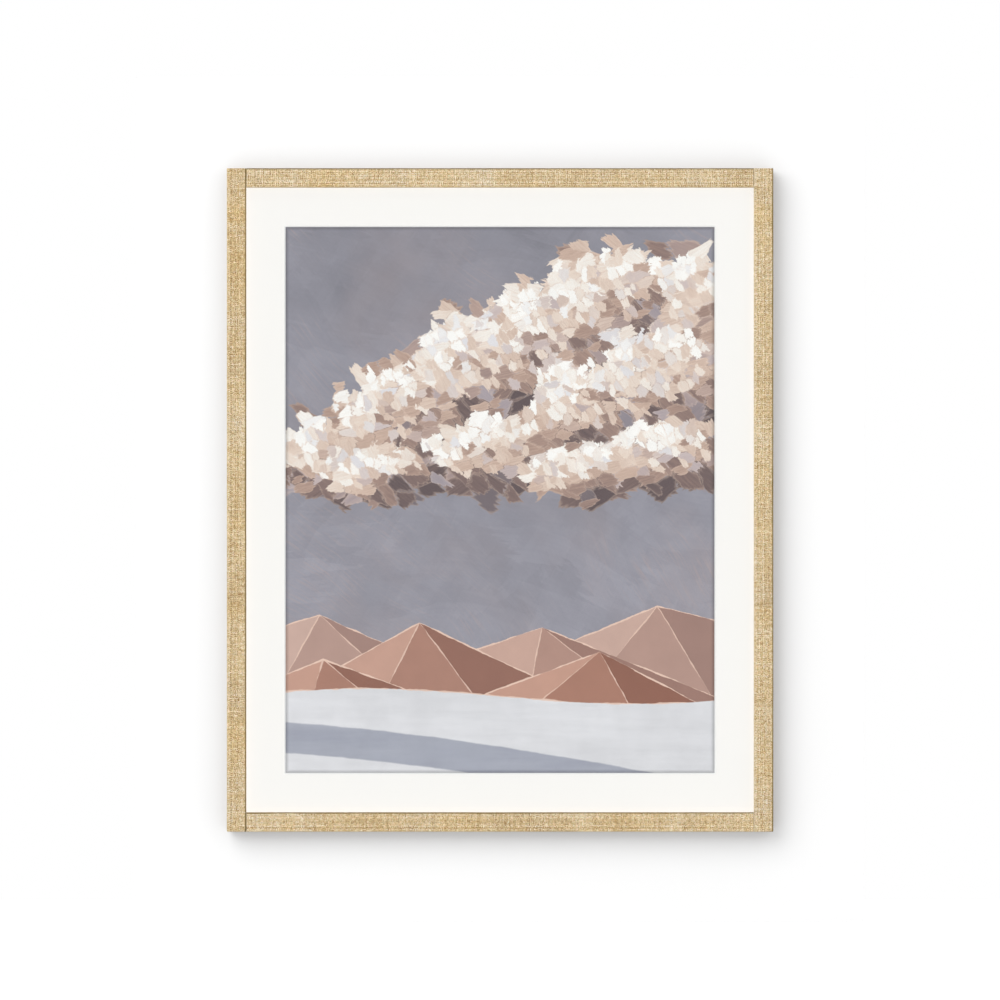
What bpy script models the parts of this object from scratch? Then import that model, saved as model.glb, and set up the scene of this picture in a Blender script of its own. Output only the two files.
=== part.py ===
"""A framed art print: a print behind glass and a wide mat, in a wooden frame covered with
linen, which hangs on a wall by two sawtooth hangers.

Metres, +Z up. The picture faces -Y and the wall is the plane y = 0. The origin is on the
wall, midway between the hangers, level with the notches that rest on the wall's nails.
"""

import math

import bmesh
import bpy

INCH = 0.0254
GAP = 0.0003  # between pieces that touch
MARGIN = 0.002  # how far a cutter runs past what it cuts
MERGE = 0.00001

# What shows from the front
WINDOW_WIDTH = 22 * INCH
WINDOW_HEIGHT = 28 * INCH
MAT_BORDER = 2 * INCH
FACE_WIDTH = 1 * INCH

# The sticks of the frame
FRAME_DEPTH = 1 * INCH
RABBET_WIDTH = INCH / 4
LIP_THICKNESS = INCH / 4
LINEN_THICKNESS = 0.0007
ARRIS = 0.001  # rounding of the front edges
ARRIS_STEPS = 2
ARRIS_ROUND = 0.5  # the bevel profile of a true arc
DOWEL_RADIUS = 0.003
DOWEL_LENGTH = 0.030
DOWEL_CHAMFER = 0.0006
DOWEL_SINK = 0.013  # the share of a dowel's length that is in the stile
DOWEL_DEPTHS = {"front": 0.0115, "back": 0.0200}

# What the frame holds, from front to back
GLASS_THICKNESS = 0.002
MAT_THICKNESS = 0.0015
PRINT_THICKNESS = 0.0005
PRINT_WIDTH = 24 * INCH
PRINT_HEIGHT = 30 * INCH
BOARD_THICKNESS = 0.005
SHEET_ROOM = INCH / 8  # how much smaller the glass, mat and board are than the rabbet

# The framer's points that hold the board
POINT_WIDTH = 0.009
POINT_THICKNESS = 0.0005
POINT_GRIP = 0.006  # how deep a point sits in the wood
POINT_REACH = 0.013  # how far it stands out over the board
POINT_TIP = 0.003
POINT_SPACING = 0.200
STILE_POINTS = 4
RAIL_POINTS = 3

# What is on the back
COVER_THICKNESS = 0.0005
COVER_INSET = 0.003
BUMPER_THICKNESS = 0.003
BUMPER_RADIUS = 0.006
BUMPER_EDGE = 0.001
BUMPER_INSET = 0.0125  # of its centre, from the frame's edges
HANGER_LENGTH = 0.046
HANGER_HEIGHT = 0.012
HANGER_METAL = 0.0008
HANGER_RISE = 0.0018  # room for a nail's head behind the toothed bridge
HANGER_TAB = 0.008
HANGER_RAMP = 0.002
HANGER_DROP = 0.0102  # of its middle, from the frame's top
HANGER_SPACING = 16 * INCH  # as far apart as the studs in a framed wall
TOOTH_PITCH = 0.0025
TOOTH_DEPTH = 0.0015
TOOTH_COUNT = 9
NAIL_HEAD_RADIUS = 0.0022
NAIL_HEAD_HEIGHT = 0.0008
NAIL_HEAD_EDGE = 0.0004
NAIL_RADIUS = 0.0008
NAIL_LENGTH = 0.013
NAIL_TIP = 0.002
NAIL_INSET = 0.0045  # from the hanger's end

# Worked out from the dimensions above
SIGHT_WIDTH = WINDOW_WIDTH + 2 * MAT_BORDER
SIGHT_HEIGHT = WINDOW_HEIGHT + 2 * MAT_BORDER
FRAME_WIDTH = SIGHT_WIDTH + 2 * FACE_WIDTH
FRAME_HEIGHT = SIGHT_HEIGHT + 2 * FACE_WIDTH
BODY_WIDTH = FACE_WIDTH - RABBET_WIDTH  # of a stick, behind its lip
SHEET_WIDTH = FRAME_WIDTH - 2 * BODY_WIDTH - SHEET_ROOM
SHEET_HEIGHT = FRAME_HEIGHT - 2 * BODY_WIDTH - SHEET_ROOM
SHEET_BOTTOM = BODY_WIDTH - FRAME_HEIGHT / 2 + GAP  # the sheets stand on the bottom rail
CORE_INSET = LINEN_THICKNESS + GAP

# Depths are counted back from the face of the frame
GLASS_FRONT = LIP_THICKNESS + GAP
MAT_FRONT = GLASS_FRONT + GLASS_THICKNESS + GAP
PRINT_FRONT = MAT_FRONT + MAT_THICKNESS + GAP
BOARD_FRONT = PRINT_FRONT + PRINT_THICKNESS + GAP
POINT_FRONT = BOARD_FRONT + BOARD_THICKNESS + GAP
COVER_FRONT = FRAME_DEPTH + GAP
COVER_BACK = COVER_FRONT + COVER_THICKNESS
ON_COVER = COVER_BACK + GAP
WALL = ON_COVER + BUMPER_THICKNESS
NOTCH_DROP = HANGER_DROP + HANGER_HEIGHT / 2 - TOOTH_DEPTH

ROUND_STEPS = {"dowel": 16, "nail": 12, "bumper": 32}


def clear_scene():
    for obj in list(bpy.data.objects):
        bpy.data.objects.remove(obj)


def new_collection(name, parent):
    collection = bpy.data.collections.new(name)
    parent.children.link(collection)
    return collection


def new_material(name, colour, roughness, metallic=0.0, transmission=0.0):
    material = bpy.data.materials.new(name)
    material.use_nodes = True
    shader = material.node_tree.nodes["Principled BSDF"]
    shader.inputs["Base Color"].default_value = (*colour, 1)
    shader.inputs["Roughness"].default_value = roughness
    shader.inputs["Metallic"].default_value = metallic
    shader.inputs["Transmission Weight"].default_value = transmission
    material.diffuse_color = (*colour, 1)
    return material


def new_empty(name, parent, location, turn=0.0):
    """A frame for other objects. It is turned about the Y axis, which runs into the wall."""
    empty = bpy.data.objects.new(name, None)
    pieces.objects.link(empty)
    empty.parent = parent
    empty.location = location
    empty.rotation_euler = (0, turn, 0)
    return empty


def new_object(name, mesh, parent, material, location=(0, 0, 0)):
    """An object of the picture, or a cutter if it has no material."""
    obj = bpy.data.objects.new(name, mesh)
    obj.parent = parent
    obj.location = location
    if material:
        mesh.materials.append(material)
        pieces.objects.link(obj)
    else:
        cutters.objects.link(obj)
        obj.hide_render = True
        obj.display_type = "WIRE"
    return obj


def add_box(name, low, high, parent, material=None, eased=None):
    """A box between two corners. eased picks the edges that are rounded."""
    size = [b - a for a, b in zip(low, high)]
    bm = bmesh.new()
    bmesh.ops.create_cube(bm, size=1)
    bmesh.ops.scale(bm, vec=size, verts=bm.verts)
    if eased:
        edges = [edge for edge in bm.edges if eased(edge)]
        bmesh.ops.bevel(
            bm, geom=edges, offset=ARRIS, segments=ARRIS_STEPS, profile=ARRIS_ROUND, affect="EDGES"
        )
    mesh = bpy.data.meshes.new(name)
    bm.to_mesh(mesh)
    bm.free()
    middle = [(a + b) / 2 for a, b in zip(low, high)]
    return new_object(name, mesh, parent, material, middle)


def add_prism(name, outline, thickness, parent, material, location, turn=(0, 0, 0)):
    """A flat outline in local X and Y, made thick along local Z and centred there."""
    curve = bpy.data.curves.new(name, "CURVE")
    curve.dimensions = "2D"
    curve.fill_mode = "BOTH"
    curve.extrude = thickness / 2
    spline = curve.splines.new("POLY")
    spline.points.add(len(outline) - 1)
    for point, (x, y) in zip(spline.points, outline):
        point.co = (x, y, 0, 1)
    spline.use_cyclic_u = True
    guide = bpy.data.objects.new(name + "_outline", curve)
    cutters.objects.link(guide)
    graph = bpy.context.evaluated_depsgraph_get()
    mesh = bpy.data.meshes.new_from_object(guide.evaluated_get(graph))
    mesh.name = name
    bpy.data.objects.remove(guide)
    bm = bmesh.new()
    bm.from_mesh(mesh)
    bmesh.ops.remove_doubles(bm, verts=bm.verts, dist=MERGE)
    bmesh.ops.recalc_face_normals(bm, faces=bm.faces)
    bm.to_mesh(mesh)
    bm.free()
    prism = new_object(name, mesh, parent, material, location)
    prism.rotation_euler = turn
    return prism


def add_turned(name, profile, steps, parent, material, location, turn=(0, 0, 0)):
    """A round piece about local Z. The profile's (radius, height) points run down its outside."""
    mesh = bpy.data.meshes.new(name)
    points = [(radius, 0, height) for radius, height in profile]
    mesh.from_pydata(points, [(i, i + 1) for i in range(len(points) - 1)], [])
    piece = new_object(name, mesh, parent, material, location)
    piece.rotation_euler = turn
    screw = piece.modifiers.new("turn", "SCREW")
    screw.steps = steps
    screw.render_steps = steps
    screw.use_merge_vertices = True
    screw.merge_threshold = MERGE
    screw.use_smooth_shade = False
    return piece


def cut(piece, cutter):
    """Takes a cutter out of a piece, which has one Boolean for all its cutters."""
    name = piece.name + "_cutters"
    group = bpy.data.collections.get(name)
    if group is None:
        group = new_collection(name, cutters)
        boolean = piece.modifiers.new("cuts", "BOOLEAN")
        boolean.operation = "DIFFERENCE"
        boolean.solver = "EXACT"
        boolean.operand_type = "COLLECTION"
        boolean.collection = group
    group.objects.link(cutter)


def front_edge(edge):
    """True for an edge of a box's front face. The mesh is centred on its object."""
    return all(vertex.co.y < 0 for vertex in edge.verts)


def long_front_edge(edge):
    a, b = edge.verts
    return front_edge(edge) and abs(a.co.z - b.co.z) > MERGE


def cylinder_profile(radius, length, chamfer=0.0):
    half = length / 2
    if not chamfer:
        return [(0, half), (radius, half), (radius, -half), (0, -half)]
    return [
        (0, half),
        (radius - chamfer, half),
        (radius, half - chamfer),
        (radius, chamfer - half),
        (radius - chamfer, -half),
        (0, -half),
    ]


def add_side(name, turn, outer_edge, length, butts, point_count):
    """One stick of the frame, with its linen and points, and the empty that places them.

    In a side's own frame X runs from its outer edge to the opening, Y back to the wall and
    Z along the stick. A side that butts has its lip cut to the opening, and behind the lip
    it runs on into the rabbets of the two sides that it meets.
    """
    place = (-outer_edge * math.cos(turn), 0, outer_edge * math.sin(turn))
    side = new_empty(name + "_place", picture, place, turn)
    half = length / 2 + (RABBET_WIDTH - GAP if butts else 0)
    core_half = half if butts else half - CORE_INSET
    hollow_half = half + MARGIN if butts else half - LINEN_THICKNESS

    wood = add_box(
        name,
        (CORE_INSET, CORE_INSET, -core_half),
        (FACE_WIDTH - CORE_INSET, FRAME_DEPTH, core_half),
        side,
        pine,
    )
    linen = add_box(
        name + "_linen",
        (0, 0, -half),
        (FACE_WIDTH, FRAME_DEPTH, half),
        side,
        linen_cloth,
        long_front_edge if butts else front_edge,
    )
    hollow = add_box(
        name + "_hollow",
        (LINEN_THICKNESS, LINEN_THICKNESS, -hollow_half),
        (FACE_WIDTH - LINEN_THICKNESS, FRAME_DEPTH + MARGIN, hollow_half),
        side,
    )
    rabbet = add_box(
        name + "_rabbet",
        (BODY_WIDTH, LIP_THICKNESS, -half - MARGIN),
        (FACE_WIDTH + MARGIN, FRAME_DEPTH + 2 * MARGIN, half + MARGIN),
        side,
    )
    cut(linen, hollow)
    cut(linen, rabbet)
    cut(wood, rabbet)
    if butts:
        lip_half = length / 2 - GAP
        for end, way in (("start", -1), ("end", 1)):
            reach = sorted((way * lip_half, way * (half + MARGIN)))
            notch = add_box(
                f"{name}_{end}_notch",
                (-MARGIN, -MARGIN, reach[0]),
                (FACE_WIDTH + MARGIN, LIP_THICKNESS + GAP, reach[1]),
                side,
            )
            cut(wood, notch)
            cut(linen, notch)
    for index in range(point_count):
        along = (index - (point_count - 1) / 2) * POINT_SPACING
        add_point(f"{name}_point_{index + 1}", side, wood, along)
    return side, wood


def add_point(name, side, wood, along):
    """A flat steel point: its tip is driven into the rabbet's wall, and it lies over the board."""
    outline = [
        (BODY_WIDTH - POINT_GRIP, 0),
        (BODY_WIDTH - POINT_GRIP + POINT_TIP, -POINT_WIDTH / 2),
        (BODY_WIDTH + POINT_REACH, -POINT_WIDTH / 2),
        (BODY_WIDTH + POINT_REACH, POINT_WIDTH / 2),
        (BODY_WIDTH - POINT_GRIP + POINT_TIP, POINT_WIDTH / 2),
    ]
    middle = POINT_FRONT + POINT_THICKNESS / 2
    add_prism(
        name, outline, POINT_THICKNESS, side, point_steel, (0, middle, along), (math.pi / 2, 0, 0)
    )
    slot = add_box(
        name + "_slot",
        (BODY_WIDTH - POINT_GRIP - GAP, POINT_FRONT - GAP, along - POINT_WIDTH / 2 - GAP),
        (BODY_WIDTH + MARGIN, POINT_FRONT + POINT_THICKNESS + GAP, along + POINT_WIDTH / 2 + GAP),
        side,
    )
    cut(wood, slot)


def add_dowels(name, side, way, rail, stile):
    """The dowels of one corner, in the frame of the rail that they run along."""
    middle = (BODY_WIDTH + CORE_INSET) / 2
    stile_face = SIGHT_WIDTH / 2 + RABBET_WIDTH
    along = way * (stile_face + DOWEL_SINK - DOWEL_LENGTH / 2)
    for level, depth in DOWEL_DEPTHS.items():
        spot = (middle, depth, along)
        dowel = f"{name}_{level}_dowel"
        profile = cylinder_profile(DOWEL_RADIUS, DOWEL_LENGTH, DOWEL_CHAMFER)
        add_turned(dowel, profile, ROUND_STEPS["dowel"], side, beech, spot)
        hole_profile = cylinder_profile(DOWEL_RADIUS + GAP, DOWEL_LENGTH + 2 * GAP)
        hole = add_turned(dowel + "_hole", hole_profile, ROUND_STEPS["dowel"], side, None, spot)
        cut(rail, hole)
        cut(stile, hole)


def add_sheet(name, width, bottom, top, front, thickness, material):
    return add_box(
        name, (-width / 2, front, bottom), (width / 2, front + thickness, top), picture, material
    )


def add_mat():
    """The window mat, with its opening cut at 45 degrees so that the cut edge shows."""
    top = SHEET_BOTTOM + SHEET_HEIGHT
    mat = add_sheet("window_mat", SHEET_WIDTH, SHEET_BOTTOM, top, MAT_FRONT, MAT_THICKNESS, mat_board)
    half_width = WINDOW_WIDTH / 2
    half_height = WINDOW_HEIGHT / 2
    back = MAT_FRONT + MAT_THICKNESS
    opening = add_box(
        "window_opening",
        (-half_width, MAT_FRONT - MARGIN, -half_height),
        (half_width, back + MARGIN, half_height),
        picture,
    )
    for vertex in opening.data.vertices:
        spread = MAT_THICKNESS + MARGIN if vertex.co.y < 0 else -MARGIN
        vertex.co.x *= 1 + spread / half_width
        vertex.co.z *= 1 + spread / half_height
    cut(mat, opening)


def add_hanger(name, across, cover, rail):
    """A stamped strip whose raised bridge has teeth along its lower edge, and its two nails."""
    height = FRAME_HEIGHT / 2 - HANGER_DROP
    half = HANGER_LENGTH / 2
    tab_end = half - HANGER_TAB
    bridge_end = tab_end - HANGER_RAMP
    near = [(-half, 0), (-tab_end, 0), (-bridge_end, HANGER_RISE)]
    near += [(-x, y) for x, y in reversed(near)]
    far = [(x, y + HANGER_METAL) for x, y in reversed(near)]
    strip = add_prism(name, near + far, HANGER_HEIGHT, picture, zinc, (across, ON_COVER, height))

    low = -HANGER_HEIGHT / 2
    start = -TOOTH_COUNT * TOOTH_PITCH / 2
    outline = [(start, low - MARGIN)]
    for index in range(TOOTH_COUNT):
        outline.append((start + index * TOOTH_PITCH, low - GAP))
        outline.append((start + (index + 0.5) * TOOTH_PITCH, low + TOOTH_DEPTH))
    outline += [(-start, low - GAP), (-start, low - MARGIN)]
    middle = ON_COVER + HANGER_RISE + HANGER_METAL / 2
    teeth = add_prism(
        name + "_teeth",
        outline,
        HANGER_METAL + 2 * GAP,
        picture,
        None,
        (across, middle, height),
        (math.pi / 2, 0, 0),
    )
    cut(strip, teeth)

    seat = ON_COVER + HANGER_METAL + GAP
    shank_end = -NAIL_LENGTH
    profile = [
        (0, NAIL_HEAD_HEIGHT),
        (NAIL_HEAD_RADIUS - NAIL_HEAD_EDGE, NAIL_HEAD_HEIGHT),
        (NAIL_HEAD_RADIUS, NAIL_HEAD_HEIGHT - NAIL_HEAD_EDGE),
        (NAIL_HEAD_RADIUS, 0),
        (NAIL_RADIUS, 0),
        (NAIL_RADIUS, shank_end + NAIL_TIP),
        (0, shank_end),
    ]
    hole_profile = [
        (0, MARGIN),
        (NAIL_RADIUS + GAP, MARGIN),
        (NAIL_RADIUS + GAP, shank_end - GAP),
        (0, shank_end - GAP),
    ]
    to_wall = (-math.pi / 2, 0, 0)
    for side, way in (("left", -1), ("right", 1)):
        spot = (across + way * (half - NAIL_INSET), seat, height)
        nail = f"{name}_{side}_nail"
        add_turned(nail, profile, ROUND_STEPS["nail"], picture, nail_steel, spot, to_wall)
        hole = add_turned(
            nail + "_hole", hole_profile, ROUND_STEPS["nail"], picture, None, spot, to_wall
        )
        for piece in (strip, cover, rail):
            cut(piece, hole)


def add_bumper(name, way):
    profile = [
        (0, BUMPER_THICKNESS),
        (BUMPER_RADIUS - BUMPER_EDGE, BUMPER_THICKNESS),
        (BUMPER_RADIUS, BUMPER_THICKNESS - BUMPER_EDGE),
        (BUMPER_RADIUS, 0),
        (0, 0),
    ]
    across = way * (FRAME_WIDTH / 2 - BUMPER_INSET)
    height = BUMPER_INSET - FRAME_HEIGHT / 2
    spot = (across, ON_COVER, height)
    add_turned(name, profile, ROUND_STEPS["bumper"], picture, felt, spot, (-math.pi / 2, 0, 0))


clear_scene()
pieces = new_collection("framed_art_print", bpy.context.scene.collection)
cutters = new_collection("cutters", bpy.context.scene.collection)
cutters.hide_render = True

pine = new_material("pine", (0.62, 0.44, 0.26), 0.6)
beech = new_material("beech", (0.70, 0.52, 0.34), 0.55)
linen_cloth = new_material("linen", (0.60, 0.47, 0.27), 0.85)
clear_glass = new_material("glass", (1, 1, 1), 0.02, transmission=1.0)
mat_board = new_material("mat_board", (0.94, 0.93, 0.90), 0.9)
art_paper = new_material("art_paper", (0.30, 0.31, 0.36), 0.8)
foam_board = new_material("foam_board", (0.88, 0.88, 0.86), 0.8)
kraft_paper = new_material("kraft_paper", (0.45, 0.31, 0.19), 0.85)
point_steel = new_material("point_steel", (0.55, 0.55, 0.56), 0.35, 1.0)
zinc = new_material("zinc_plate", (0.66, 0.66, 0.67), 0.3, 1.0)
nail_steel = new_material("nail_steel", (0.60, 0.60, 0.61), 0.3, 1.0)
felt = new_material("felt", (0.16, 0.13, 0.11), 0.95)

# The face of the frame is level with this empty, and the picture's middle is at it
picture = new_empty("picture_place", None, (0, -WALL, NOTCH_DROP - FRAME_HEIGHT / 2))

# The stiles run the full height, and the rails butt between them
_, left_stile = add_side("left_stile", 0, FRAME_WIDTH / 2, FRAME_HEIGHT, False, STILE_POINTS)
_, right_stile = add_side(
    "right_stile", math.pi, FRAME_WIDTH / 2, FRAME_HEIGHT, False, STILE_POINTS
)
top, top_rail = add_side(
    "top_rail", math.pi / 2, FRAME_HEIGHT / 2, SIGHT_WIDTH, True, RAIL_POINTS
)
bottom, bottom_rail = add_side(
    "bottom_rail", -math.pi / 2, FRAME_HEIGHT / 2, SIGHT_WIDTH, True, RAIL_POINTS
)

# A rail's own Z runs right on the top rail and left on the bottom one
add_dowels("top_left", top, -1, top_rail, left_stile)
add_dowels("top_right", top, 1, top_rail, right_stile)
add_dowels("bottom_left", bottom, 1, bottom_rail, left_stile)
add_dowels("bottom_right", bottom, -1, bottom_rail, right_stile)

sheet_top = SHEET_BOTTOM + SHEET_HEIGHT
add_sheet(
    "glazing", SHEET_WIDTH, SHEET_BOTTOM, sheet_top, GLASS_FRONT, GLASS_THICKNESS, clear_glass
)
add_mat()
add_sheet(
    "art_print",
    PRINT_WIDTH,
    -PRINT_HEIGHT / 2,
    PRINT_HEIGHT / 2,
    PRINT_FRONT,
    PRINT_THICKNESS,
    art_paper,
)
add_sheet(
    "backing_board",
    SHEET_WIDTH,
    SHEET_BOTTOM,
    sheet_top,
    BOARD_FRONT,
    BOARD_THICKNESS,
    foam_board,
)
cover_half = FRAME_HEIGHT / 2 - COVER_INSET
dust_cover = add_sheet(
    "dust_cover",
    FRAME_WIDTH - 2 * COVER_INSET,
    -cover_half,
    cover_half,
    COVER_FRONT,
    COVER_THICKNESS,
    kraft_paper,
)
add_hanger("left_hanger", -HANGER_SPACING / 2, dust_cover, top_rail)
add_hanger("right_hanger", HANGER_SPACING / 2, dust_cover, top_rail)
add_bumper("left_bumper", -1)
add_bumper("right_bumper", 1)
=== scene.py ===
"""Framed art print: the finishes of its linen frame, glass, mat, print and back.

The picture faces -Y and hangs on the wall, the plane y = 0. Everything is in metres.
"""
import math
from collections import namedtuple
from contextlib import contextmanager

import bpy
import numpy as np
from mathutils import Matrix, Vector


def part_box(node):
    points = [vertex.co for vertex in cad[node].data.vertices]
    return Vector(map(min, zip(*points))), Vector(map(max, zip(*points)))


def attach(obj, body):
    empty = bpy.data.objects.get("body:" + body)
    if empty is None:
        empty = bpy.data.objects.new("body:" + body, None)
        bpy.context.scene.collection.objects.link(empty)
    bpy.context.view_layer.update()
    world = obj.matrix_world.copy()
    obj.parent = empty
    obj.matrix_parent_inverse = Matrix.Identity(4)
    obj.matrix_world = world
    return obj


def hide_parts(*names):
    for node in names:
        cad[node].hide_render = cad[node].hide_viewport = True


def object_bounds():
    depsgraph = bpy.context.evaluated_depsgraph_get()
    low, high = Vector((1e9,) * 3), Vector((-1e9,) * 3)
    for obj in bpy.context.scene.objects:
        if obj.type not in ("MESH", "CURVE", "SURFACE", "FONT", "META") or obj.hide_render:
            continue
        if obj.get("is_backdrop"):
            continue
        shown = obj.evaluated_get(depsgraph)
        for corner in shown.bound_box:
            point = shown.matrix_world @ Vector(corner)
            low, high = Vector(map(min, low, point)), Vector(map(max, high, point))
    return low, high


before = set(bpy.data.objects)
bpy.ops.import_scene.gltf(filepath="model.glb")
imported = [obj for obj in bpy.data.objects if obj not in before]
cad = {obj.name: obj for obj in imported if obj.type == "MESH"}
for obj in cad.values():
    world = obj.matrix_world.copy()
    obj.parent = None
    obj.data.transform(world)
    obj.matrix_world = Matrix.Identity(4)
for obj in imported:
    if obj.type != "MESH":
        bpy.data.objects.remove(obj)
cad_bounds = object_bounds()

bl_info = {
    "name": "Framed Art Print",
    "version": (1, 0, 0),
    "blender": (4, 5, 0),
    "location": "3D View > Sidebar > Framed Print",
    "description": "Dresses a framed print: woven linen, glass, mat, painted print and papered back",
    "category": "Add Mesh",
}

INCH = 0.0254
MM = 0.001
BODY = "root"
SIDES = ("left_stile", "right_stile", "top_rail", "bottom_rail")

# Places read from the frame
STILE_LOW, STILE_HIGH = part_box("left_stile_linen")
FAR_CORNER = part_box("right_stile_linen")[1]
FACE_Y = STILE_LOW.y
FACE_WIDTH = STILE_HIGH.x - STILE_LOW.x
FRAME_LOW = Vector((STILE_LOW.x, STILE_LOW.z))
FRAME_HIGH = Vector((FAR_CORNER.x, FAR_CORNER.z))
MIDDLE = (FRAME_LOW + FRAME_HIGH) / 2
FRAME_WIDTH, FRAME_HEIGHT = FRAME_HIGH - FRAME_LOW
SIGHT_WIDTH = FRAME_WIDTH - 2 * FACE_WIDTH
MAT_BORDER = 2 * INCH
WINDOW_WIDTH = SIGHT_WIDTH - 2 * MAT_BORDER
WINDOW_HEIGHT = FRAME_HEIGHT - 2 * FACE_WIDTH - 2 * MAT_BORDER
RABBET = FACE_WIDTH / 4  # how far the lip stands over the glass, and how thick it is


def length_setting(name, description, default):
    return bpy.props.FloatProperty(name=name, description=description, default=default, unit="LENGTH")


def colour_setting(name, description, default):
    return bpy.props.FloatVectorProperty(
        name=name, description=description, default=default, size=3, subtype="COLOR"
    )


class LinenSettings(bpy.types.PropertyGroup):
    """The cloth that covers the four sticks of the frame."""

    threads: bpy.props.IntProperty(
        name="Threads across the face",
        description="Warp threads across the width of a stick's face",
        default=18,
        min=10,
        max=20,
    )
    relief: length_setting(
        "Relief", "Height of a thread's crown over the holes of the weave", 0.42 * MM
    )
    arris: length_setting("Arris", "Rounding of the covered edges", 0.85 * MM)
    hem: length_setting("Hem", "How far the cloth's cut edges turn in", 0.6 * MM)
    tone_spread: bpy.props.FloatProperty(
        name="Tone spread",
        description="How much the threads differ from each other",
        default=0.16,
        subtype="FACTOR",
    )
    seed: bpy.props.IntProperty(
        name="Seed", description="Picks the irregularities of the threads", default=7
    )


class PrintSettings(bpy.types.PropertyGroup):
    """The colours of the painting on the print."""

    ground: colour_setting("Ground", "Dusty blue-grey of the sky", (0.285, 0.280, 0.325))
    pale: colour_setting("Pale band", "Grey-white of the foreground", (0.725, 0.725, 0.755))
    terracotta: colour_setting("Terracotta", "Sunlit sides of the hills", (0.470, 0.245, 0.180))
    shade: colour_setting("Hill shade", "Shaded sides of the hills", (0.270, 0.120, 0.085))


class BackSettings(bpy.types.PropertyGroup):
    """The paper that closes the back, and what is on it."""

    sag: length_setting("Sag", "How far the paper dips between the sticks", 1.0 * MM)
    wrinkle: length_setting("Wrinkle", "Height of the paper's wrinkles", 0.8 * MM)
    ease: length_setting("Eased edge", "Rounding of the stamped metal", 0.12 * MM)


class StageSettings(bpy.types.PropertyGroup):
    """Camera, wall, floor and lights."""

    lens: bpy.props.FloatProperty(
        name="Lens",
        description="Focal length on a 36 mm sensor",
        default=200.0,
        subtype="DISTANCE_CAMERA",
    )
    view_width: length_setting(
        "View width", "Width that the camera takes in at the frame's face", 1.3010
    )
    exposure: bpy.props.FloatProperty(
        name="Light level", description="Factor on every light", default=1.0, min=0.0
    )


def select_only(obj):
    """Makes one object the only one selected, and active."""
    bpy.ops.object.select_all(action="DESELECT")
    obj.select_set(True)
    bpy.context.view_layer.objects.active = obj


def name_piece(obj, name):
    """Names an object and its mesh."""
    obj.name = name
    obj.data.name = name


@contextmanager
def edit_mode():
    """Holds the active object in edit mode."""
    bpy.ops.object.mode_set(mode="EDIT")
    yield
    bpy.ops.object.mode_set(mode="OBJECT")


def flip_faces():
    """Turns the active object's faces the other way round."""
    with edit_mode():
        bpy.ops.mesh.select_all(action="SELECT")
        bpy.ops.mesh.flip_normals()


def apply_modifier(obj, kind, **settings):
    """Adds a modifier to the active object and applies it."""
    modifier = obj.modifiers.new(kind.lower(), kind)
    for name, value in settings.items():
        setattr(modifier, name, value)
    bpy.ops.object.modifier_apply(modifier=modifier.name)


def finish(obj, material):
    """Gives an object one material."""
    obj.data.materials.clear()
    obj.data.materials.append(material)


def hand_over(obj, material, node):
    """Finishes a piece: its material, its body and the CAD node that it stands for."""
    finish(obj, material)
    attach(obj, BODY)
    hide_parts(node)


def finish_nodes(names, material):
    """Gives CAD nodes a material of their own kind."""
    for name in names:
        finish(cad[name], material)


# Shader nodes


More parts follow.
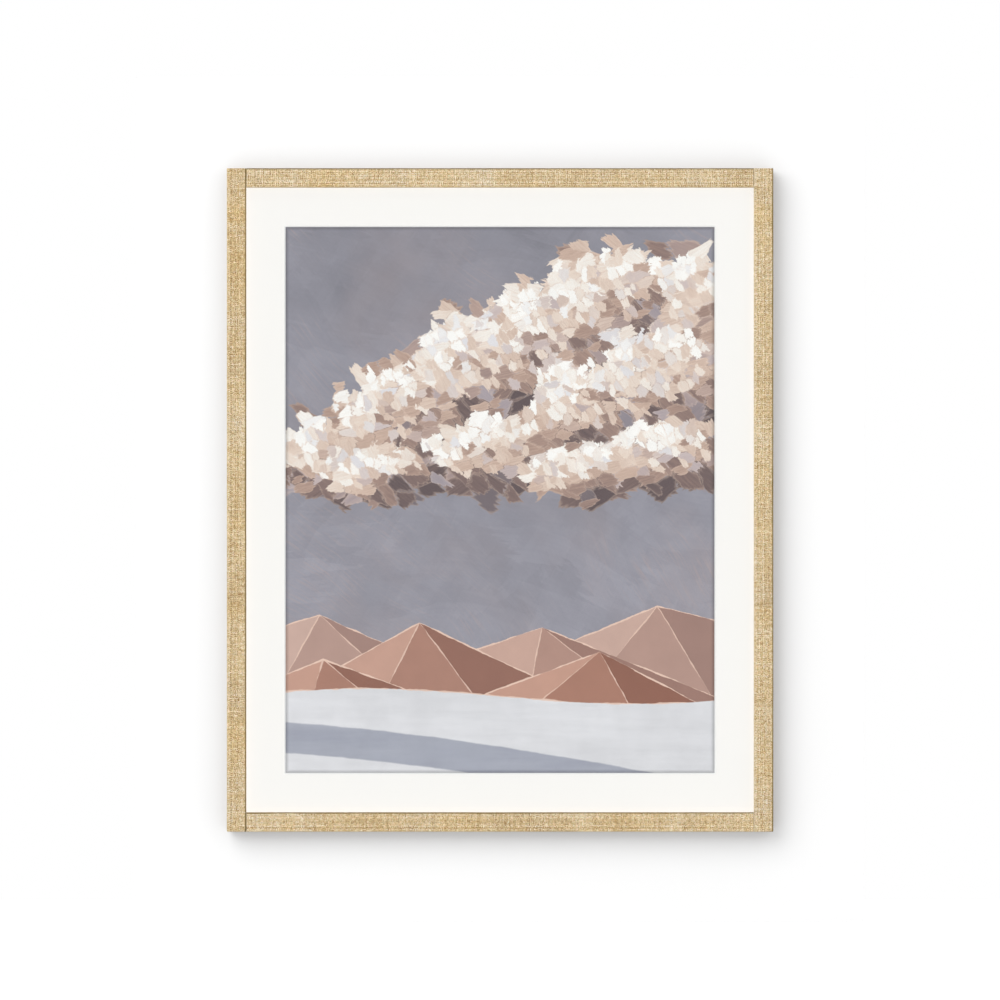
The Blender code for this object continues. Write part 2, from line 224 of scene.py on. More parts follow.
class Graph:
    """Adds nodes to a tree. An input is a number, a colour, a vector or another node's output."""

    def __init__(self, tree):
        self.tree = tree

    def fill(self, node, inputs):
        """Links or sets a node's inputs."""
        for name, value in dict(inputs).items():
            if isinstance(value, bpy.types.NodeSocket):
                self.tree.links.new(value, node.inputs[name])
            else:
                node.inputs[name].default_value = value

    def add(self, kind, inputs=(), **settings):
        node = self.tree.nodes.new(kind)
        for name, value in settings.items():
            setattr(node, name, value)
        self.fill(node, inputs)
        return node

    def math(self, operation, *values):
        return self.add("ShaderNodeMath", enumerate(values), operation=operation).outputs[0]

    def plus(self, first, second):
        return self.math("ADD", first, second)

    def minus(self, first, second):
        return self.math("SUBTRACT", first, second)

    def times(self, first, second):
        return self.math("MULTIPLY", first, second)

    def vector(self, operation, *values):
        return self.add("ShaderNodeVectorMath", enumerate(values), operation=operation).outputs[0]

    def scaled(self, vector, factor):
        inputs = {0: vector, 3: factor}
        return self.add("ShaderNodeVectorMath", inputs, operation="SCALE").outputs[0]

    def length(self, vector):
        return self.add("ShaderNodeVectorMath", {0: vector}, operation="LENGTH").outputs["Value"]

    def turned(self, vector, angle):
        """A vector turned about Z."""
        inputs = {"Vector": vector, "Center": (0, 0, 0), "Axis": (0, 0, 1), "Angle": angle}
        return self.add("ShaderNodeVectorRotate", inputs).outputs[0]

    def mix(self, factor, under, over, blend="MIX"):
        inputs = {0: factor, 6: under, 7: over}
        return self.add("ShaderNodeMix", inputs, data_type="RGBA", blend_type=blend).outputs[2]

    def mix_value(self, factor, under, over):
        return self.add("ShaderNodeMix", {0: factor, 2: under, 3: over}).outputs[0]

    def remap(self, value, low, high, to_low=0.0, to_high=1.0, smooth=False):
        kind = "SMOOTHSTEP" if smooth else "LINEAR"
        inputs = enumerate((value, low, high, to_low, to_high))
        return self.add("ShaderNodeMapRange", inputs, interpolation_type=kind).outputs[0]

    def ramp(self, factor, stops):
        """A colour ramp. Its stops are (place, colour), from low to high."""
        node = self.add("ShaderNodeValToRGB", {0: factor})
        ramp = node.color_ramp
        for element, (place, colour) in zip(list(ramp.elements), (stops[0], stops[-1])):
            element.position = place
            element.color = (*colour, 1)
        for place, colour in stops[1:-1]:
            ramp.elements.new(place).color = (*colour, 1)
        return node.outputs[0]

    def noise(self, place, scale, detail, roughness, stretch=None, flat=False, output="Fac"):
        """Noise over a place, in 2-D where flat. stretch multiplies the place."""
        if stretch:
            place = self.vector("MULTIPLY", place, stretch)
        inputs = {"Vector": place, "Scale": scale, "Detail": detail, "Roughness": roughness}
        kind = "2D" if flat else "3D"
        return self.add("ShaderNodeTexNoise", inputs, noise_dimensions=kind).outputs[output]

    def split(self, vector):
        return self.add("ShaderNodeSeparateXYZ", {0: vector}).outputs

    def channels(self, colour):
        return self.add("ShaderNodeSeparateColor", {0: colour}).outputs

    def grey(self, value):
        return self.add("ShaderNodeCombineColor", {0: value, 1: value, 2: value}).outputs[0]

    def drift(self, colour, amount):
        """A noise's colour as a shift of up to half the amount each way."""
        red, green, blue = self.channels(colour)
        vector = self.vector("SUBTRACT", self.join(red, green, blue), (0.5, 0.5, 0.5))
        return self.scaled(vector, amount)

    def join(self, x, y, z=0.0):
        return self.add("ShaderNodeCombineXYZ", enumerate((x, y, z))).outputs[0]

    def group(self, tree, inputs):
        return self.add("ShaderNodeGroup", inputs, node_tree=tree).outputs


def new_group(name, inputs, outputs):
    """A node group. inputs maps each name to its default, and outputs to VECTOR, COLOUR or VALUE."""
    kinds = {"VECTOR": "NodeSocketVector", "COLOUR": "NodeSocketColor", "VALUE": "NodeSocketFloat"}
    tree = bpy.data.node_groups.new(name, "ShaderNodeTree")
    for label, value in inputs.items():
        size = len(value) if hasattr(value, "__len__") else 1
        kind = {1: "VALUE", 3: "VECTOR", 4: "COLOUR"}[size]
        socket = tree.interface.new_socket(label, in_out="INPUT", socket_type=kinds[kind])
        socket.default_value = value
    for label, kind in outputs.items():
        tree.interface.new_socket(label, in_out="OUTPUT", socket_type=kinds[kind])
    graph = Graph(tree)
    given = graph.add("NodeGroupInput").outputs
    result = graph.add("NodeGroupOutput")
    return tree, graph, given, result


def give(graph, result, **values):
    """Links values to a group's outputs. An underscore in a name stands for a space."""
    for name, value in values.items():
        graph.tree.links.new(value, result.inputs[name.replace("_", " ")])


def new_material(name):
    """A material with an empty tree, its Principled shader and its output."""
    material = bpy.data.materials.new(name)
    material.use_nodes = True
    material.node_tree.nodes.clear()
    graph = Graph(material.node_tree)
    shader = graph.add("ShaderNodeBsdfPrincipled")
    graph.add("ShaderNodeOutputMaterial", {"Surface": shader.outputs[0]})
    return material, graph, shader


def clear_where(graph, shader, share):
    """Lets the material be seen through where share is 1."""
    clear = graph.add("ShaderNodeBsdfTransparent").outputs[0]
    mixed = graph.add("ShaderNodeMixShader", {0: share, 1: shader.outputs[0], 2: clear})
    graph.fill(graph.tree.nodes["Material Output"], {"Surface": mixed.outputs[0]})


def bump(graph, height, distance, strength):
    inputs = {"Height": height, "Distance": distance, "Strength": strength}
    return graph.add("ShaderNodeBump", inputs).outputs[0]


def object_place(graph, scale=1.0, turn=(0, 0, 0)):
    """Object coordinates through a Mapping node."""
    place = graph.add("ShaderNodeTexCoord").outputs["Object"]
    inputs = {"Vector": place, "Scale": (scale,) * 3, "Rotation": turn}
    return graph.add("ShaderNodeMapping", inputs).outputs[0]


def facing_y(graph):
    """How far the surface faces along Y: -1 towards the viewer, 1 towards the wall."""
    return graph.split(graph.add("ShaderNodeNewGeometry").outputs["True Normal"])[1]


# Linen


def eased(part):
    """A share from 0 to 1 that sets off and arrives gently."""
    return part * part * (3 - 2 * part)


def smooth_noise(rng, rows, length, step):
    """One smooth random line of values for each row, with a new value at each step."""
    knots = rng.normal(size=(rows, int(length / step) + 3))
    place = np.arange(length) / step
    low = place.astype(int)
    part = eased(place - low)
    return knots[:, low] * (1 - part) + knots[:, low + 1] * part


class Weave:
    """The threads of one wrap. Warp runs along the stick and weft across it.

    Threads are counted from the light edge of the face and from the middle of the stick.
    """

    MARGIN = 4  # threads past the cloth's own edges, so that every point has some
    BEND = 0.35  # share of the relief that comes from threads passing over and under
    # How much lighter or darker the face's warp threads are, counted from the light edge
    LINES = (-0.4, -0.9, 0.9, 0.3, -1.7, 0.3, 0, -0.5, -0.5, 0.5, -0.6, 0, 0, 0.4)

    def __init__(self, seed, across, along, spread):
        rng = np.random.default_rng(seed)
        self.first = (int(across[0]) - self.MARGIN, int(along[0]) - self.MARGIN)
        columns = int(across[1] - across[0]) + 2 * self.MARGIN + 1
        rows = int(along[1] - along[0]) + 2 * self.MARGIN + 1
        shape = (columns, rows)

        # Smooth noise changes over as many threads as its last value says
        warp = rng.normal(size=(columns, 1)) * 0.7 + smooth_noise(rng, columns, rows, 24) * 0.4
        warp += smooth_noise(rng, columns, rows, 2.6) * 0.4
        for index, tone in enumerate(self.LINES):
            warp[index - self.first[0]] += tone
        weft = rng.normal(size=(rows, 1)) * 0.55 + smooth_noise(rng, rows, columns, 7) * 0.5
        weft += smooth_noise(rng, rows, columns, 2.6) * 0.4
        place = np.add.outer(np.arange(columns) + self.first[0], np.arange(rows) + self.first[1])
        self.weft_over = place % 2 == 1
        over = np.where(self.weft_over, weft.T, warp)
        patches = smooth_noise(rng, 1, rows, 30) * 0.22 + smooth_noise(rng, columns, rows, 16) * 0.1
        self.tone = 0.5 + spread * (over + rng.normal(size=shape) * 0.8 + patches)
        drift = smooth_noise(rng, 1, rows, 16) * 0.6 + smooth_noise(rng, columns, rows, 11) * 0.6
        own = np.where(self.weft_over, rng.normal(size=(1, rows)), rng.normal(size=(columns, 1)))
        self.hue = 0.5 + 0.17 * (drift + own * 0.5 + rng.normal(size=shape) * 0.3)
        self.thick_warp = 1 + 0.14 * smooth_noise(rng, columns, rows, 12)
        self.thick_weft = 1 + 0.18 * smooth_noise(rng, rows, columns, 8).T
        self.sway_warp = 0.12 * smooth_noise(rng, columns, rows, 24)
        self.sway_weft = 0.14 * smooth_noise(rng, rows, columns, 10).T

    def crossing(self, across, along):
        """Which crossing of the arrays each point belongs to."""
        column = np.round(across).astype(int)
        row = np.round(along).astype(int)
        return column - self.first[0], row - self.first[1], across - column, along - row

    def read_relief(self, across, along):
        """Relief from 0 to about 1, and the sway of the threads, at points counted in threads."""
        column, row, part_across, part_along = self.crossing(across, along)
        way = np.where(self.weft_over[column, row], -1.0, 1.0)
        warp = way * self.BEND * np.cos(np.pi * part_along)
        warp += (1 - self.BEND) * np.cos(np.pi * part_across)
        weft = -way * self.BEND * np.cos(np.pi * part_across)
        weft += (1 - self.BEND) * np.cos(np.pi * part_along)
        relief = np.maximum(warp * self.thick_warp[column, row], weft * self.thick_weft[column, row])
        return relief, self.sway_warp[column, row], self.sway_weft[column, row]

    def read_colour(self, across, along):
        """Tone and hue of the crossings that hold these points."""
        column, row, _, _ = self.crossing(across, along)
        return {"tone": self.tone[column, row], "hue": self.hue[column, row]}


def add_patch(name, columns, rows):
    """A grid, with each corner's column and row."""
    bpy.ops.object.select_all(action="DESELECT")
    bpy.ops.mesh.primitive_grid_add(
        x_subdivisions=columns, y_subdivisions=rows, size=1, location=(0, 0, 0)
    )
    patch = bpy.context.active_object
    patch.name = name
    flat = np.zeros(len(patch.data.vertices) * 3)
    patch.data.vertices.foreach_get("co", flat)
    flat = flat.reshape(-1, 3)
    column = np.round((flat[:, 0] + 0.5) * columns).astype(int)
    row = np.round((flat[:, 1] + 0.5) * rows).astype(int)
    return patch, column, row


def write_patch(patch, points, threads, weave):
    """Moves a grid's corners, and stores its thread map and each face's tone and hue."""
    mesh = patch.data
    mesh.vertices.foreach_set("co", points.astype(np.float32).ravel())
    corners = np.zeros(len(mesh.loops), np.int32)
    mesh.loops.foreach_get("vertex_index", corners)
    for layer in list(mesh.uv_layers):
        mesh.uv_layers.remove(layer)
    layer = mesh.uv_layers.new(name="threads")
    layer.uv.foreach_set("vector", threads[corners].astype(np.float32).ravel())
    middles = threads[corners].reshape(-1, 4, 2).mean(axis=1)
    for name, values in weave.read_colour(*middles.T).items():
        attribute = mesh.attributes.new(name, "FLOAT", "FACE")
        attribute.data.foreach_set("value", values.astype(np.float32))
    mesh.update()


class Wrap:
    """The linen of one stick, as grids laid over the stick's box and rounded at its edges.

    Its own frame is that of the stick: across from the outer edge to the opening, depth
    back from the face, and along the stick from its middle.
    """

    CELLS = 2  # cells to a thread
    EVEN = 0.6  # share of the relief where the cloth lies even
    BUTT_GAP = 0.25 * MM  # how far a rail's cloth stops short of the stile's

    def __init__(self, settings, side, length, capped, dark_inside):
        self.settings = settings
        self.side = side
        self.length = length
        self.capped = capped
        self.dark_inside = dark_inside
        self.count = settings.threads
        self.pitch = FACE_WIDTH / settings.threads
        self.lip = RABBET / self.pitch
        across = (-self.count, self.count + self.lip)
        if not dark_inside:
            across = (self.count - across[1], self.count - across[0])
        reach = length / 2 / self.pitch + self.count
        self.weave = Weave(
            settings.seed + SIDES.index(side), across, (-reach, reach), settings.tone_spread
        )

    def lay(self, across, depth, along, threads_across, threads_along, calm):
        """Points on the rounded box, raised by the weave. calm is 0 where the relief stays even."""
        counted = threads_across if self.dark_inside else self.count - threads_across
        relief, sway_across, sway_along = self.weave.read_relief(counted, threads_along)
        radius = self.settings.arris
        on_face = (depth <= 0) & (across > radius) & (across < FACE_WIDTH - radius)
        inner = np.abs(along) < self.length / 2 - 2 * self.pitch
        across = across + np.where(on_face, sway_across * calm * self.pitch, 0)
        along = along + np.where(inner, sway_along * calm * self.pitch, 0)
        end = self.length / 2 - radius if self.capped else np.inf
        core_across = np.clip(across, radius, FACE_WIDTH - radius)
        core_along = np.clip(along, -end, end)
        core = np.stack((core_across, np.maximum(depth, radius), core_along), axis=1)
        out = np.stack((across, depth, along), axis=1) - core
        out /= np.linalg.norm(out, axis=1, keepdims=True)
        height = self.settings.relief * (relief * calm + self.EVEN * (1 - calm) - 1)
        points = core + out * (radius + height)[:, None]
        return points, out, np.stack((counted, threads_along), axis=1)

    def place(self, points):
        """From the stick's own frame to the picture's."""
        across, depth, along = points.T
        if self.side in ("left_stile", "right_stile"):
            way = 1 if self.side == "left_stile" else -1
            edge = FRAME_LOW.x if way == 1 else FRAME_HIGH.x
            return np.stack((edge + way * across, FACE_Y + depth, MIDDLE.y + way * along), axis=1)
        way = 1 if self.side == "top_rail" else -1
        edge = FRAME_HIGH.y if way == 1 else FRAME_LOW.y
        return np.stack((MIDDLE.x + way * along, FACE_Y + depth, edge - way * across), axis=1)

    def depths(self):
        """Places down the outer side, in threads: one cell to a thread in its back half."""
        half = self.count // 2
        fine = [k / self.CELLS for k in range(half * self.CELLS)]
        return np.array([*fine, *range(half, self.count + 1)])

    def section(self):
        """Places across the wrap, in threads: outer side, face and lip, with a hem at each end."""
        outer = -self.depths()[::-1]
        rest = np.arange(1, round((self.count + self.lip) * self.CELLS) + 1) / self.CELLS
        return np.concatenate(([outer[0]], outer, rest, [rest[-1]]))

    def add_body(self):
        """The outer side, the face and the lip's edge, in one grid."""
        places = self.section()
        cell = self.pitch / self.CELLS
        tongue = 0 if self.capped else round(RABBET / cell)
        rows = round(self.length / cell) + 2 * tongue
        patch, column, row = add_patch(self.side + "_cloth", len(places) - 1, rows)
        threads_along = (row - rows / 2) / self.CELLS
        threads_across = places[column]
        across = np.clip(threads_across, 0, self.count) * self.pitch
        beyond = np.maximum(-threads_across, threads_across - self.count)
        depth = np.maximum(beyond, 0) * self.pitch
        along = threads_along * self.pitch
        on_side = (threads_across <= 0) | (threads_across >= self.count)
        end_row = (row == 0) | (row == rows)
        calm = np.where(end_row & on_side & self.capped, 0.0, 1.0)
        points, out, threads = self.lay(across, depth, along, threads_across, threads_along, calm)
        hemmed = (column == 0) | (column == len(places) - 1)
        points -= out * np.where(hemmed, self.settings.hem, 0)[:, None]
        if not self.capped:
            half = self.length / 2
            for limit in (half, half + tongue * cell):
                near = np.abs(np.abs(along) - limit) < cell / 2
                points[near, 2] = np.sign(along[near]) * (limit - self.BUTT_GAP)
        write_patch(patch, self.place(points), threads, self.weave)
        if not self.capped:
            past = np.abs(along) > self.length / 2 + cell / 2
            self.cut(patch, past & (depth < RABBET - cell / 2))
        return patch

    def cut(self, patch, chosen):
        """Deletes the chosen corners, such as those of a rail's cloth in front of a stile's lip."""
        select_only(patch)
        with edit_mode():
            bpy.ops.mesh.select_all(action="DESELECT")
        patch.data.vertices.foreach_set("select", chosen)
        with edit_mode():
            bpy.ops.mesh.delete(type="VERT")

    def add_cap(self, way):
        """The cloth folded over one end of a stile."""
        depths = self.depths()
        columns = self.count * self.CELLS
        rows = len(depths)
        patch, column, row = add_patch(f"{self.side}_cap", columns, rows)
        threads_across = column / self.CELLS
        down = depths[np.minimum(row, rows - 1)]
        across = threads_across * self.pitch
        depth = down * self.pitch
        along = np.full(len(across), way * self.length / 2)
        threads_along = way * (self.length / 2 / self.pitch + down)
        calm = np.where((column == 0) | (column == columns), 0.0, 1.0)
        points, out, threads = self.lay(across, depth, along, threads_across, threads_along, calm)
        points -= out * np.where(row == rows, self.settings.hem, 0)[:, None]
        write_patch(patch, self.place(points), threads, self.weave)
        clear = self.pitch / self.CELLS / 2
        self.cut(patch, (across > FACE_WIDTH - RABBET + clear) & (depth > RABBET + clear))
        if way < 0:
            flip_faces()
        return patch

    def build(self):
        """One piece of cloth, its caps sewn on and its faces pointing out."""
        body = self.add_body()
        caps = [self.add_cap(way) for way in (-1, 1)] if self.capped else []
        bpy.ops.object.select_all(action="DESELECT")
        for patch in (*caps, body):
            patch.select_set(True)
        bpy.context.view_layer.objects.active = body
        if caps:
            bpy.ops.object.join()
        with edit_mode():
            bpy.ops.mesh.select_all(action="SELECT")
            bpy.ops.mesh.remove_doubles(threshold=0.02 * MM)
        bpy.ops.object.shade_smooth()
        name_piece(body, self.side + "_linen_wrap")
        return body


LINEN_TONES = (
    (0.0, (0.315, 0.188, 0.072)),
    (0.25, (0.520, 0.362, 0.172)),
    (0.5, (0.700, 0.550, 0.322)),
    (0.75, (0.835, 0.705, 0.485)),
    (1.0, (0.950, 0.870, 0.705)),
)


def thread_colour(graph, given, fibre):
    """Straw colours from dark to light, greyer or yellower by the hue, with faint blushes."""
    tone = graph.plus(given["Tone"], graph.remap(fibre, 0.25, 0.75, -0.14, 0.14))
    colour = graph.ramp(tone, LINEN_TONES)
    straw = graph.mix(given["Hue"], (0.96, 1.01, 1.17, 1), (1.05, 0.99, 0.85, 1))
    colour = graph.mix(1.0, colour, straw, "MULTIPLY")
    blush = graph.noise(given["Threads"], 0.33, 3.0, 0.75, flat=True)
    blush = graph.mix(graph.remap(blush, 0.25, 0.75), (0.955, 1.04, 1.0, 1), (1.045, 0.96, 1.0, 1))
    return graph.mix(1.0, colour, blush, "MULTIPLY")


def edge_shade_and_light(graph, colour, across, along, count):
    """Painted shade: a wandering dark band along the face's dark edge, and a paler band of painted
    light along the light one.
    """
    wander = graph.noise(graph.join(0.0, along), 0.9, 2.0, 0.6, flat=True)
    to_edge = graph.minus(across, graph.remap(wander, 0.3, 0.7, -0.12, 0.12))
    near = graph.minus(to_edge, count)
    # Painted shade in a band along the face's dark edge and past it
    edge_shade_in = graph.remap(near, -1.25, -0.85, smooth=True)
    edge_shade_out = graph.remap(near, 0.8, 1.6, 1.0, 0.0, smooth=True)
    edge_shade = graph.times(graph.times(edge_shade_in, edge_shade_out), 0.95)
    edge_shade_tone = graph.mix(wander, (0.14, 0.095, 0.022, 1), (0.25, 0.180, 0.062, 1))
    colour = graph.mix(edge_shade, colour, edge_shade_tone)
    # Painted light: a paler band along the face's light edge
    edge_light = graph.remap(across, 1.3, -0.2, 0.0, 0.6, smooth=True)
    return graph.mix(edge_light, colour, (0.78, 0.67, 0.47, 1))


def linen_weave_group():
    """Colour and fine height of the linen, from its thread map and its tones, with painted shade in the
    gaps and holes between the threads, and painted shade and light along the face's edges.
    """
    tree, graph, given, result = new_group(
        "Linen weave",
        {"Threads": (0, 0, 0), "Tone": 0.5, "Hue": 0.5, "Count": 18.0},
        {"Colour": "COLOUR", "Height": "VALUE", "Roughness": "VALUE"},
    )
    across, along, _ = graph.split(given["Threads"])
    column = graph.math("ROUND", across)
    row = graph.math("ROUND", along)
    part_across = graph.math("ABSOLUTE", graph.minus(across, column))
    part_along = graph.math("ABSOLUTE", graph.minus(along, row))
    weft_over = graph.math("FLOORED_MODULO", graph.plus(column, row), 2.0)
    side = graph.mix_value(weft_over, part_across, part_along)
    end = graph.mix_value(weft_over, part_along, part_across)
    gap_depth_and_shade = graph.remap(side, 0.26, 0.5, smooth=True)

    corner = graph.join(graph.math("FLOOR", across), graph.math("FLOOR", along))
    chance = graph.add("ShaderNodeTexWhiteNoise", {"Vector": corner}, noise_dimensions="2D").outputs[0]
    radius = graph.remap(chance, 0.15, 1.0, 0.08, 0.42)
    to_corner = graph.join(graph.minus(0.5, side), graph.minus(0.5, end))
    from_hole = graph.minus(graph.length(to_corner), radius)
    hole_depth_and_shade = graph.remap(from_hole, 0.0, -0.14, smooth=True)

    lengthwise = graph.join(graph.times(across, 9.0), along)
    crosswise = graph.join(graph.times(along, 9.0), across)
    run = graph.mix(weft_over, lengthwise, crosswise)
    fibre = graph.noise(run, 1.3, 2.0, 0.6, flat=True)

    colour = thread_colour(graph, given, fibre)
    # Painted shade: the gaps beside the threads and, darker still, the holes between them are coloured
    # dark brown
    colour = graph.mix(graph.times(gap_depth_and_shade, 0.40), colour, (0.40, 0.25, 0.105, 1))
    colour = graph.mix(graph.times(hole_depth_and_shade, 0.85), colour, (0.17, 0.09, 0.025, 1))
    colour = edge_shade_and_light(graph, colour, across, along, given["Count"])

    height = graph.minus(graph.times(fibre, 0.35), graph.times(gap_depth_and_shade, 0.5))
    height = graph.minus(height, hole_depth_and_shade)
    rough = graph.remap(fibre, 0.2, 0.8, 0.78, 0.95)
    give(graph, result, Colour=colour, Height=height, Roughness=rough)
    return tree


def linen_material(settings):
    material, graph, shader = new_material("gold_tan_linen")
    threads = graph.add("ShaderNodeUVMap", uv_map="threads").outputs[0]
    tone = graph.add("ShaderNodeAttribute", attribute_name="tone").outputs["Fac"]
    hue = graph.add("ShaderNodeAttribute", attribute_name="hue").outputs["Fac"]
    inputs = {"Threads": threads, "Tone": tone, "Hue": hue, "Count": float(settings.threads)}
    weave = graph.group(linen_weave_group(), inputs)
    inputs = {
        "Base Color": weave["Colour"],
        "Roughness": weave["Roughness"],
        "Normal": bump(graph, weave["Height"], 0.12 * MM, 0.6),
        "Sheen Weight": 0.15,
        "Sheen Roughness": 0.5,
        "Specular IOR Level": 0.25,
    }
    graph.fill(shader, inputs)
    return material


# Paint


def brush_dabs_group():
    """Dabs of a flat brush: for each its middle, three random draws, its border and its bristles."""
    tree, graph, given, result = new_group(
        "Brush dabs",
        {
            "Place": (0, 0, 0),
            "Length": 0.4,
            "Width": 0.2,
            "Angle": 0.0,
            "Ragged": 0.3,
            "Seed": 0.0,
        },
        {
            "Middle": "VECTOR",
            "Draw": "VALUE",
            "Tone draw": "VALUE",
            "Hue draw": "VALUE",
            "Border": "VALUE",
            "Bristles": "VALUE",
        },
    )
    size = graph.join(given["Length"], given["Width"], 1.0)
    scaled = graph.vector("DIVIDE", graph.turned(given["Place"], given["Angle"]), size)
    torn = graph.noise(scaled, 1.0, 3.0, 0.6, (1.6, 4.5, 1), flat=True, output="Color")
    torn = graph.vector("MULTIPLY", graph.drift(torn, given["Ragged"]), (1.6, 0.7, 0))
    offset = graph.vector("MULTIPLY", graph.join(given["Seed"], given["Seed"]), (7.13, 3.71, 0))
    place = graph.vector("ADD", graph.vector("ADD", scaled, torn), offset)
    inputs = {"Vector": place, "Scale": 1.0, "Randomness": 1.0}
    cells = graph.add("ShaderNodeTexVoronoi", inputs, voronoi_dimensions="2D").outputs
    edge = {"voronoi_dimensions": "2D", "feature": "DISTANCE_TO_EDGE"}
    edges = graph.add("ShaderNodeTexVoronoi", inputs, **edge).outputs
    middle = graph.vector("MULTIPLY", graph.vector("SUBTRACT", cells["Position"], offset), size)
    middle = graph.turned(middle, graph.times(given["Angle"], -1.0))
    draw, tone_draw, hue_draw = graph.channels(cells["Color"])
    bristle_place = graph.vector("ADD", graph.vector("MULTIPLY", scaled, (0.8, 9.0, 1)), offset)
    bristles = graph.noise(bristle_place, 1.0, 2.0, 0.6, flat=True)
    give(graph, result, Middle=middle, Draw=draw, Border=edges["Distance"], Bristles=bristles)
    give(graph, result, Tone_draw=tone_draw, Hue_draw=hue_draw)
    return tree


# The cloud bank's puffs, back to front: middle and radii in decimetres from the window's middle
PUFFS = (
    ((2.45, 2.35), (0.95, 0.85)),
    ((1.35, 2.55), (0.80, 0.70)),
    ((-2.30, 0.55), (0.80, 0.50)),
    ((1.95, 1.45), (1.05, 0.75)),
    ((0.55, 2.05), (0.85, 0.75)),
    ((-1.35, 1.05), (0.85, 0.65)),
    ((0.90, 1.10), (0.95, 0.65)),
    ((-0.35, 1.60), (0.85, 0.80)),
    ((2.20, 0.55), (0.80, 0.45)),
    ((-0.10, 0.55), (0.90, 0.50)),
    ((-1.65, 0.30), (0.75, 0.38)),
    ((1.15, 0.30), (0.85, 0.36)),
)


def cloud_bank_group():
    """Round puffs laid over each other: how lit the top one is, and how far in the nearest is.

    Three puffs are worked out at a time, one in each part of a vector.
    """
    tree, graph, given, result = new_group(
        "Cloud bank", {"Place": (0, 0, 0)}, {"Lit": "VALUE", "Inside": "VALUE"}
    )
    x, y, _ = graph.split(given["Place"])
    along = graph.join(x, x, x)
    up = graph.join(y, y, y)
    lit = graph.remap(graph.math("MULTIPLY_ADD", x, -0.45, y), 0.2, 2.4, 0.15, 0.60)
    nearest = (9, 9, 9)
    for first in range(0, len(PUFFS), 3):
        middles, radii = zip(*PUFFS[first : first + 3])
        (left, low), (wide, high) = zip(*middles), zip(*radii)
        local_x = graph.vector("DIVIDE", graph.vector("SUBTRACT", along, left), wide)
        local_y = graph.vector("DIVIDE", graph.vector("SUBTRACT", up, low), high)
        reach = graph.vector("MULTIPLY", local_x, local_x)
        reach = graph.vector("MULTIPLY_ADD", local_y, local_y, reach)
        slope = graph.vector("MULTIPLY_ADD", local_y, (0.46,) * 3, (0.52,) * 3)
        slope = graph.vector("MULTIPLY_ADD", local_x, (-0.24,) * 3, slope)
        nearest = graph.vector("MINIMUM", nearest, reach)
        for one_reach, one_slope in zip(graph.split(reach), graph.split(slope)):
            lit = graph.mix_value(graph.math("LESS_THAN", one_reach, 1.0), lit, one_slope)
    first, second, third = graph.split(nearest)
    nearest = graph.math("MINIMUM", graph.math("MINIMUM", first, second), third)
    give(graph, result, Lit=lit, Inside=graph.remap(nearest, 1.56, 0.30))
    return tree


CLOUD_TONES = (
    (0.0, (0.120, 0.088, 0.092)),
    (0.2, (0.240, 0.165, 0.150)),
    (0.38, (0.415, 0.285, 0.235)),
    (0.55, (0.600, 0.440, 0.360)),
    (0.72, (0.780, 0.650, 0.560)),
    (0.88, (0.890, 0.840, 0.785)),
    (1.0, (0.955, 0.940, 0.915)),
)

# Each layer of dabs: size in decimetres, slant in degrees, how far inside the cloud it starts, how
# much its tone varies, how well lit a place it needs, how much lighter it is, and its seed
CloudLayer = namedtuple("CloudLayer", "length width slant start vary least_lit lift seed")
CLOUD_LAYERS = (
    CloudLayer(0.44, 0.26, 20, 0.42, 0.14, -9.0, -0.22, 1),
    CloudLayer(0.34, 0.20, -35, 0.46, 0.20, -9.0, -0.14, 3),
    CloudLayer(0.27, 0.16, 40, 0.51, 0.23, 0.10, -0.10, 4),
    CloudLayer(0.21, 0.13, -15, 0.60, 0.26, 0.30, -0.02, 5),
    CloudLayer(0.15, 0.10, 60, 0.70, 0.28, 0.52, 0.08, 6),
)


def cloud_layer(graph, under, place, dabs, bank, layer):
    """One layer of dabs over what is under it, where the cloud bank has them."""
    inputs = {
        "Place": place,
        "Length": layer.length,
        "Width": layer.width,
        "Angle": math.radians(layer.slant),
        "Ragged": 0.38,
        "Seed": float(layer.seed),
    }
    dab = graph.group(dabs, inputs)
    cloud = graph.group(bank, {"Place": dab["Middle"]})
    wish = graph.plus(cloud["Inside"], graph.remap(dab["Draw"], 0, 1, -0.38, 0.38))
    shown = graph.math("GREATER_THAN", wish, layer.start)
    chance = graph.remap(dab["Tone draw"], 0, 1, -layer.vary, layer.vary)
    lit = graph.plus(cloud["Lit"], chance)
    bright_enough = graph.math("GREATER_THAN", lit, layer.least_lit)
    streak = graph.remap(dab["Bristles"], 0.25, 0.75, -0.06, 0.06)
    lit = graph.plus(graph.plus(lit, layer.lift), streak)
    colour = graph.ramp(lit, CLOUD_TONES)
    cool = graph.remap(dab["Hue draw"], 0.72, 1.0, 0.0, 0.5)
    colour = graph.mix(cool, colour, (0.54, 0.52, 0.60, 1))
    rim = graph.remap(dab["Border"], 0.05, 0.13, 0.24, 0.0)
    colour = graph.mix(rim, colour, (0.80, 0.62, 0.51, 1))
    body = graph.remap(dab["Border"], 0.0, 0.05, smooth=True)
    cover = graph.times(graph.times(shown, bright_enough), body)
    colour = graph.mix(cover, under, colour)
    return colour, slide(graph, place, colour)


def slide(graph, place, colour):
    """Where the next layer's brush lands: the paint below leads it aside a little.

    It also makes the layers wait for each other. Worked out at once, they need more room
    than a shader has.
    """
    lightness = graph.channels(colour)[1]
    aside = graph.remap(lightness, 0.2, 0.8, -0.012, 0.012)
    return graph.vector("ADD", place, graph.join(aside, aside))


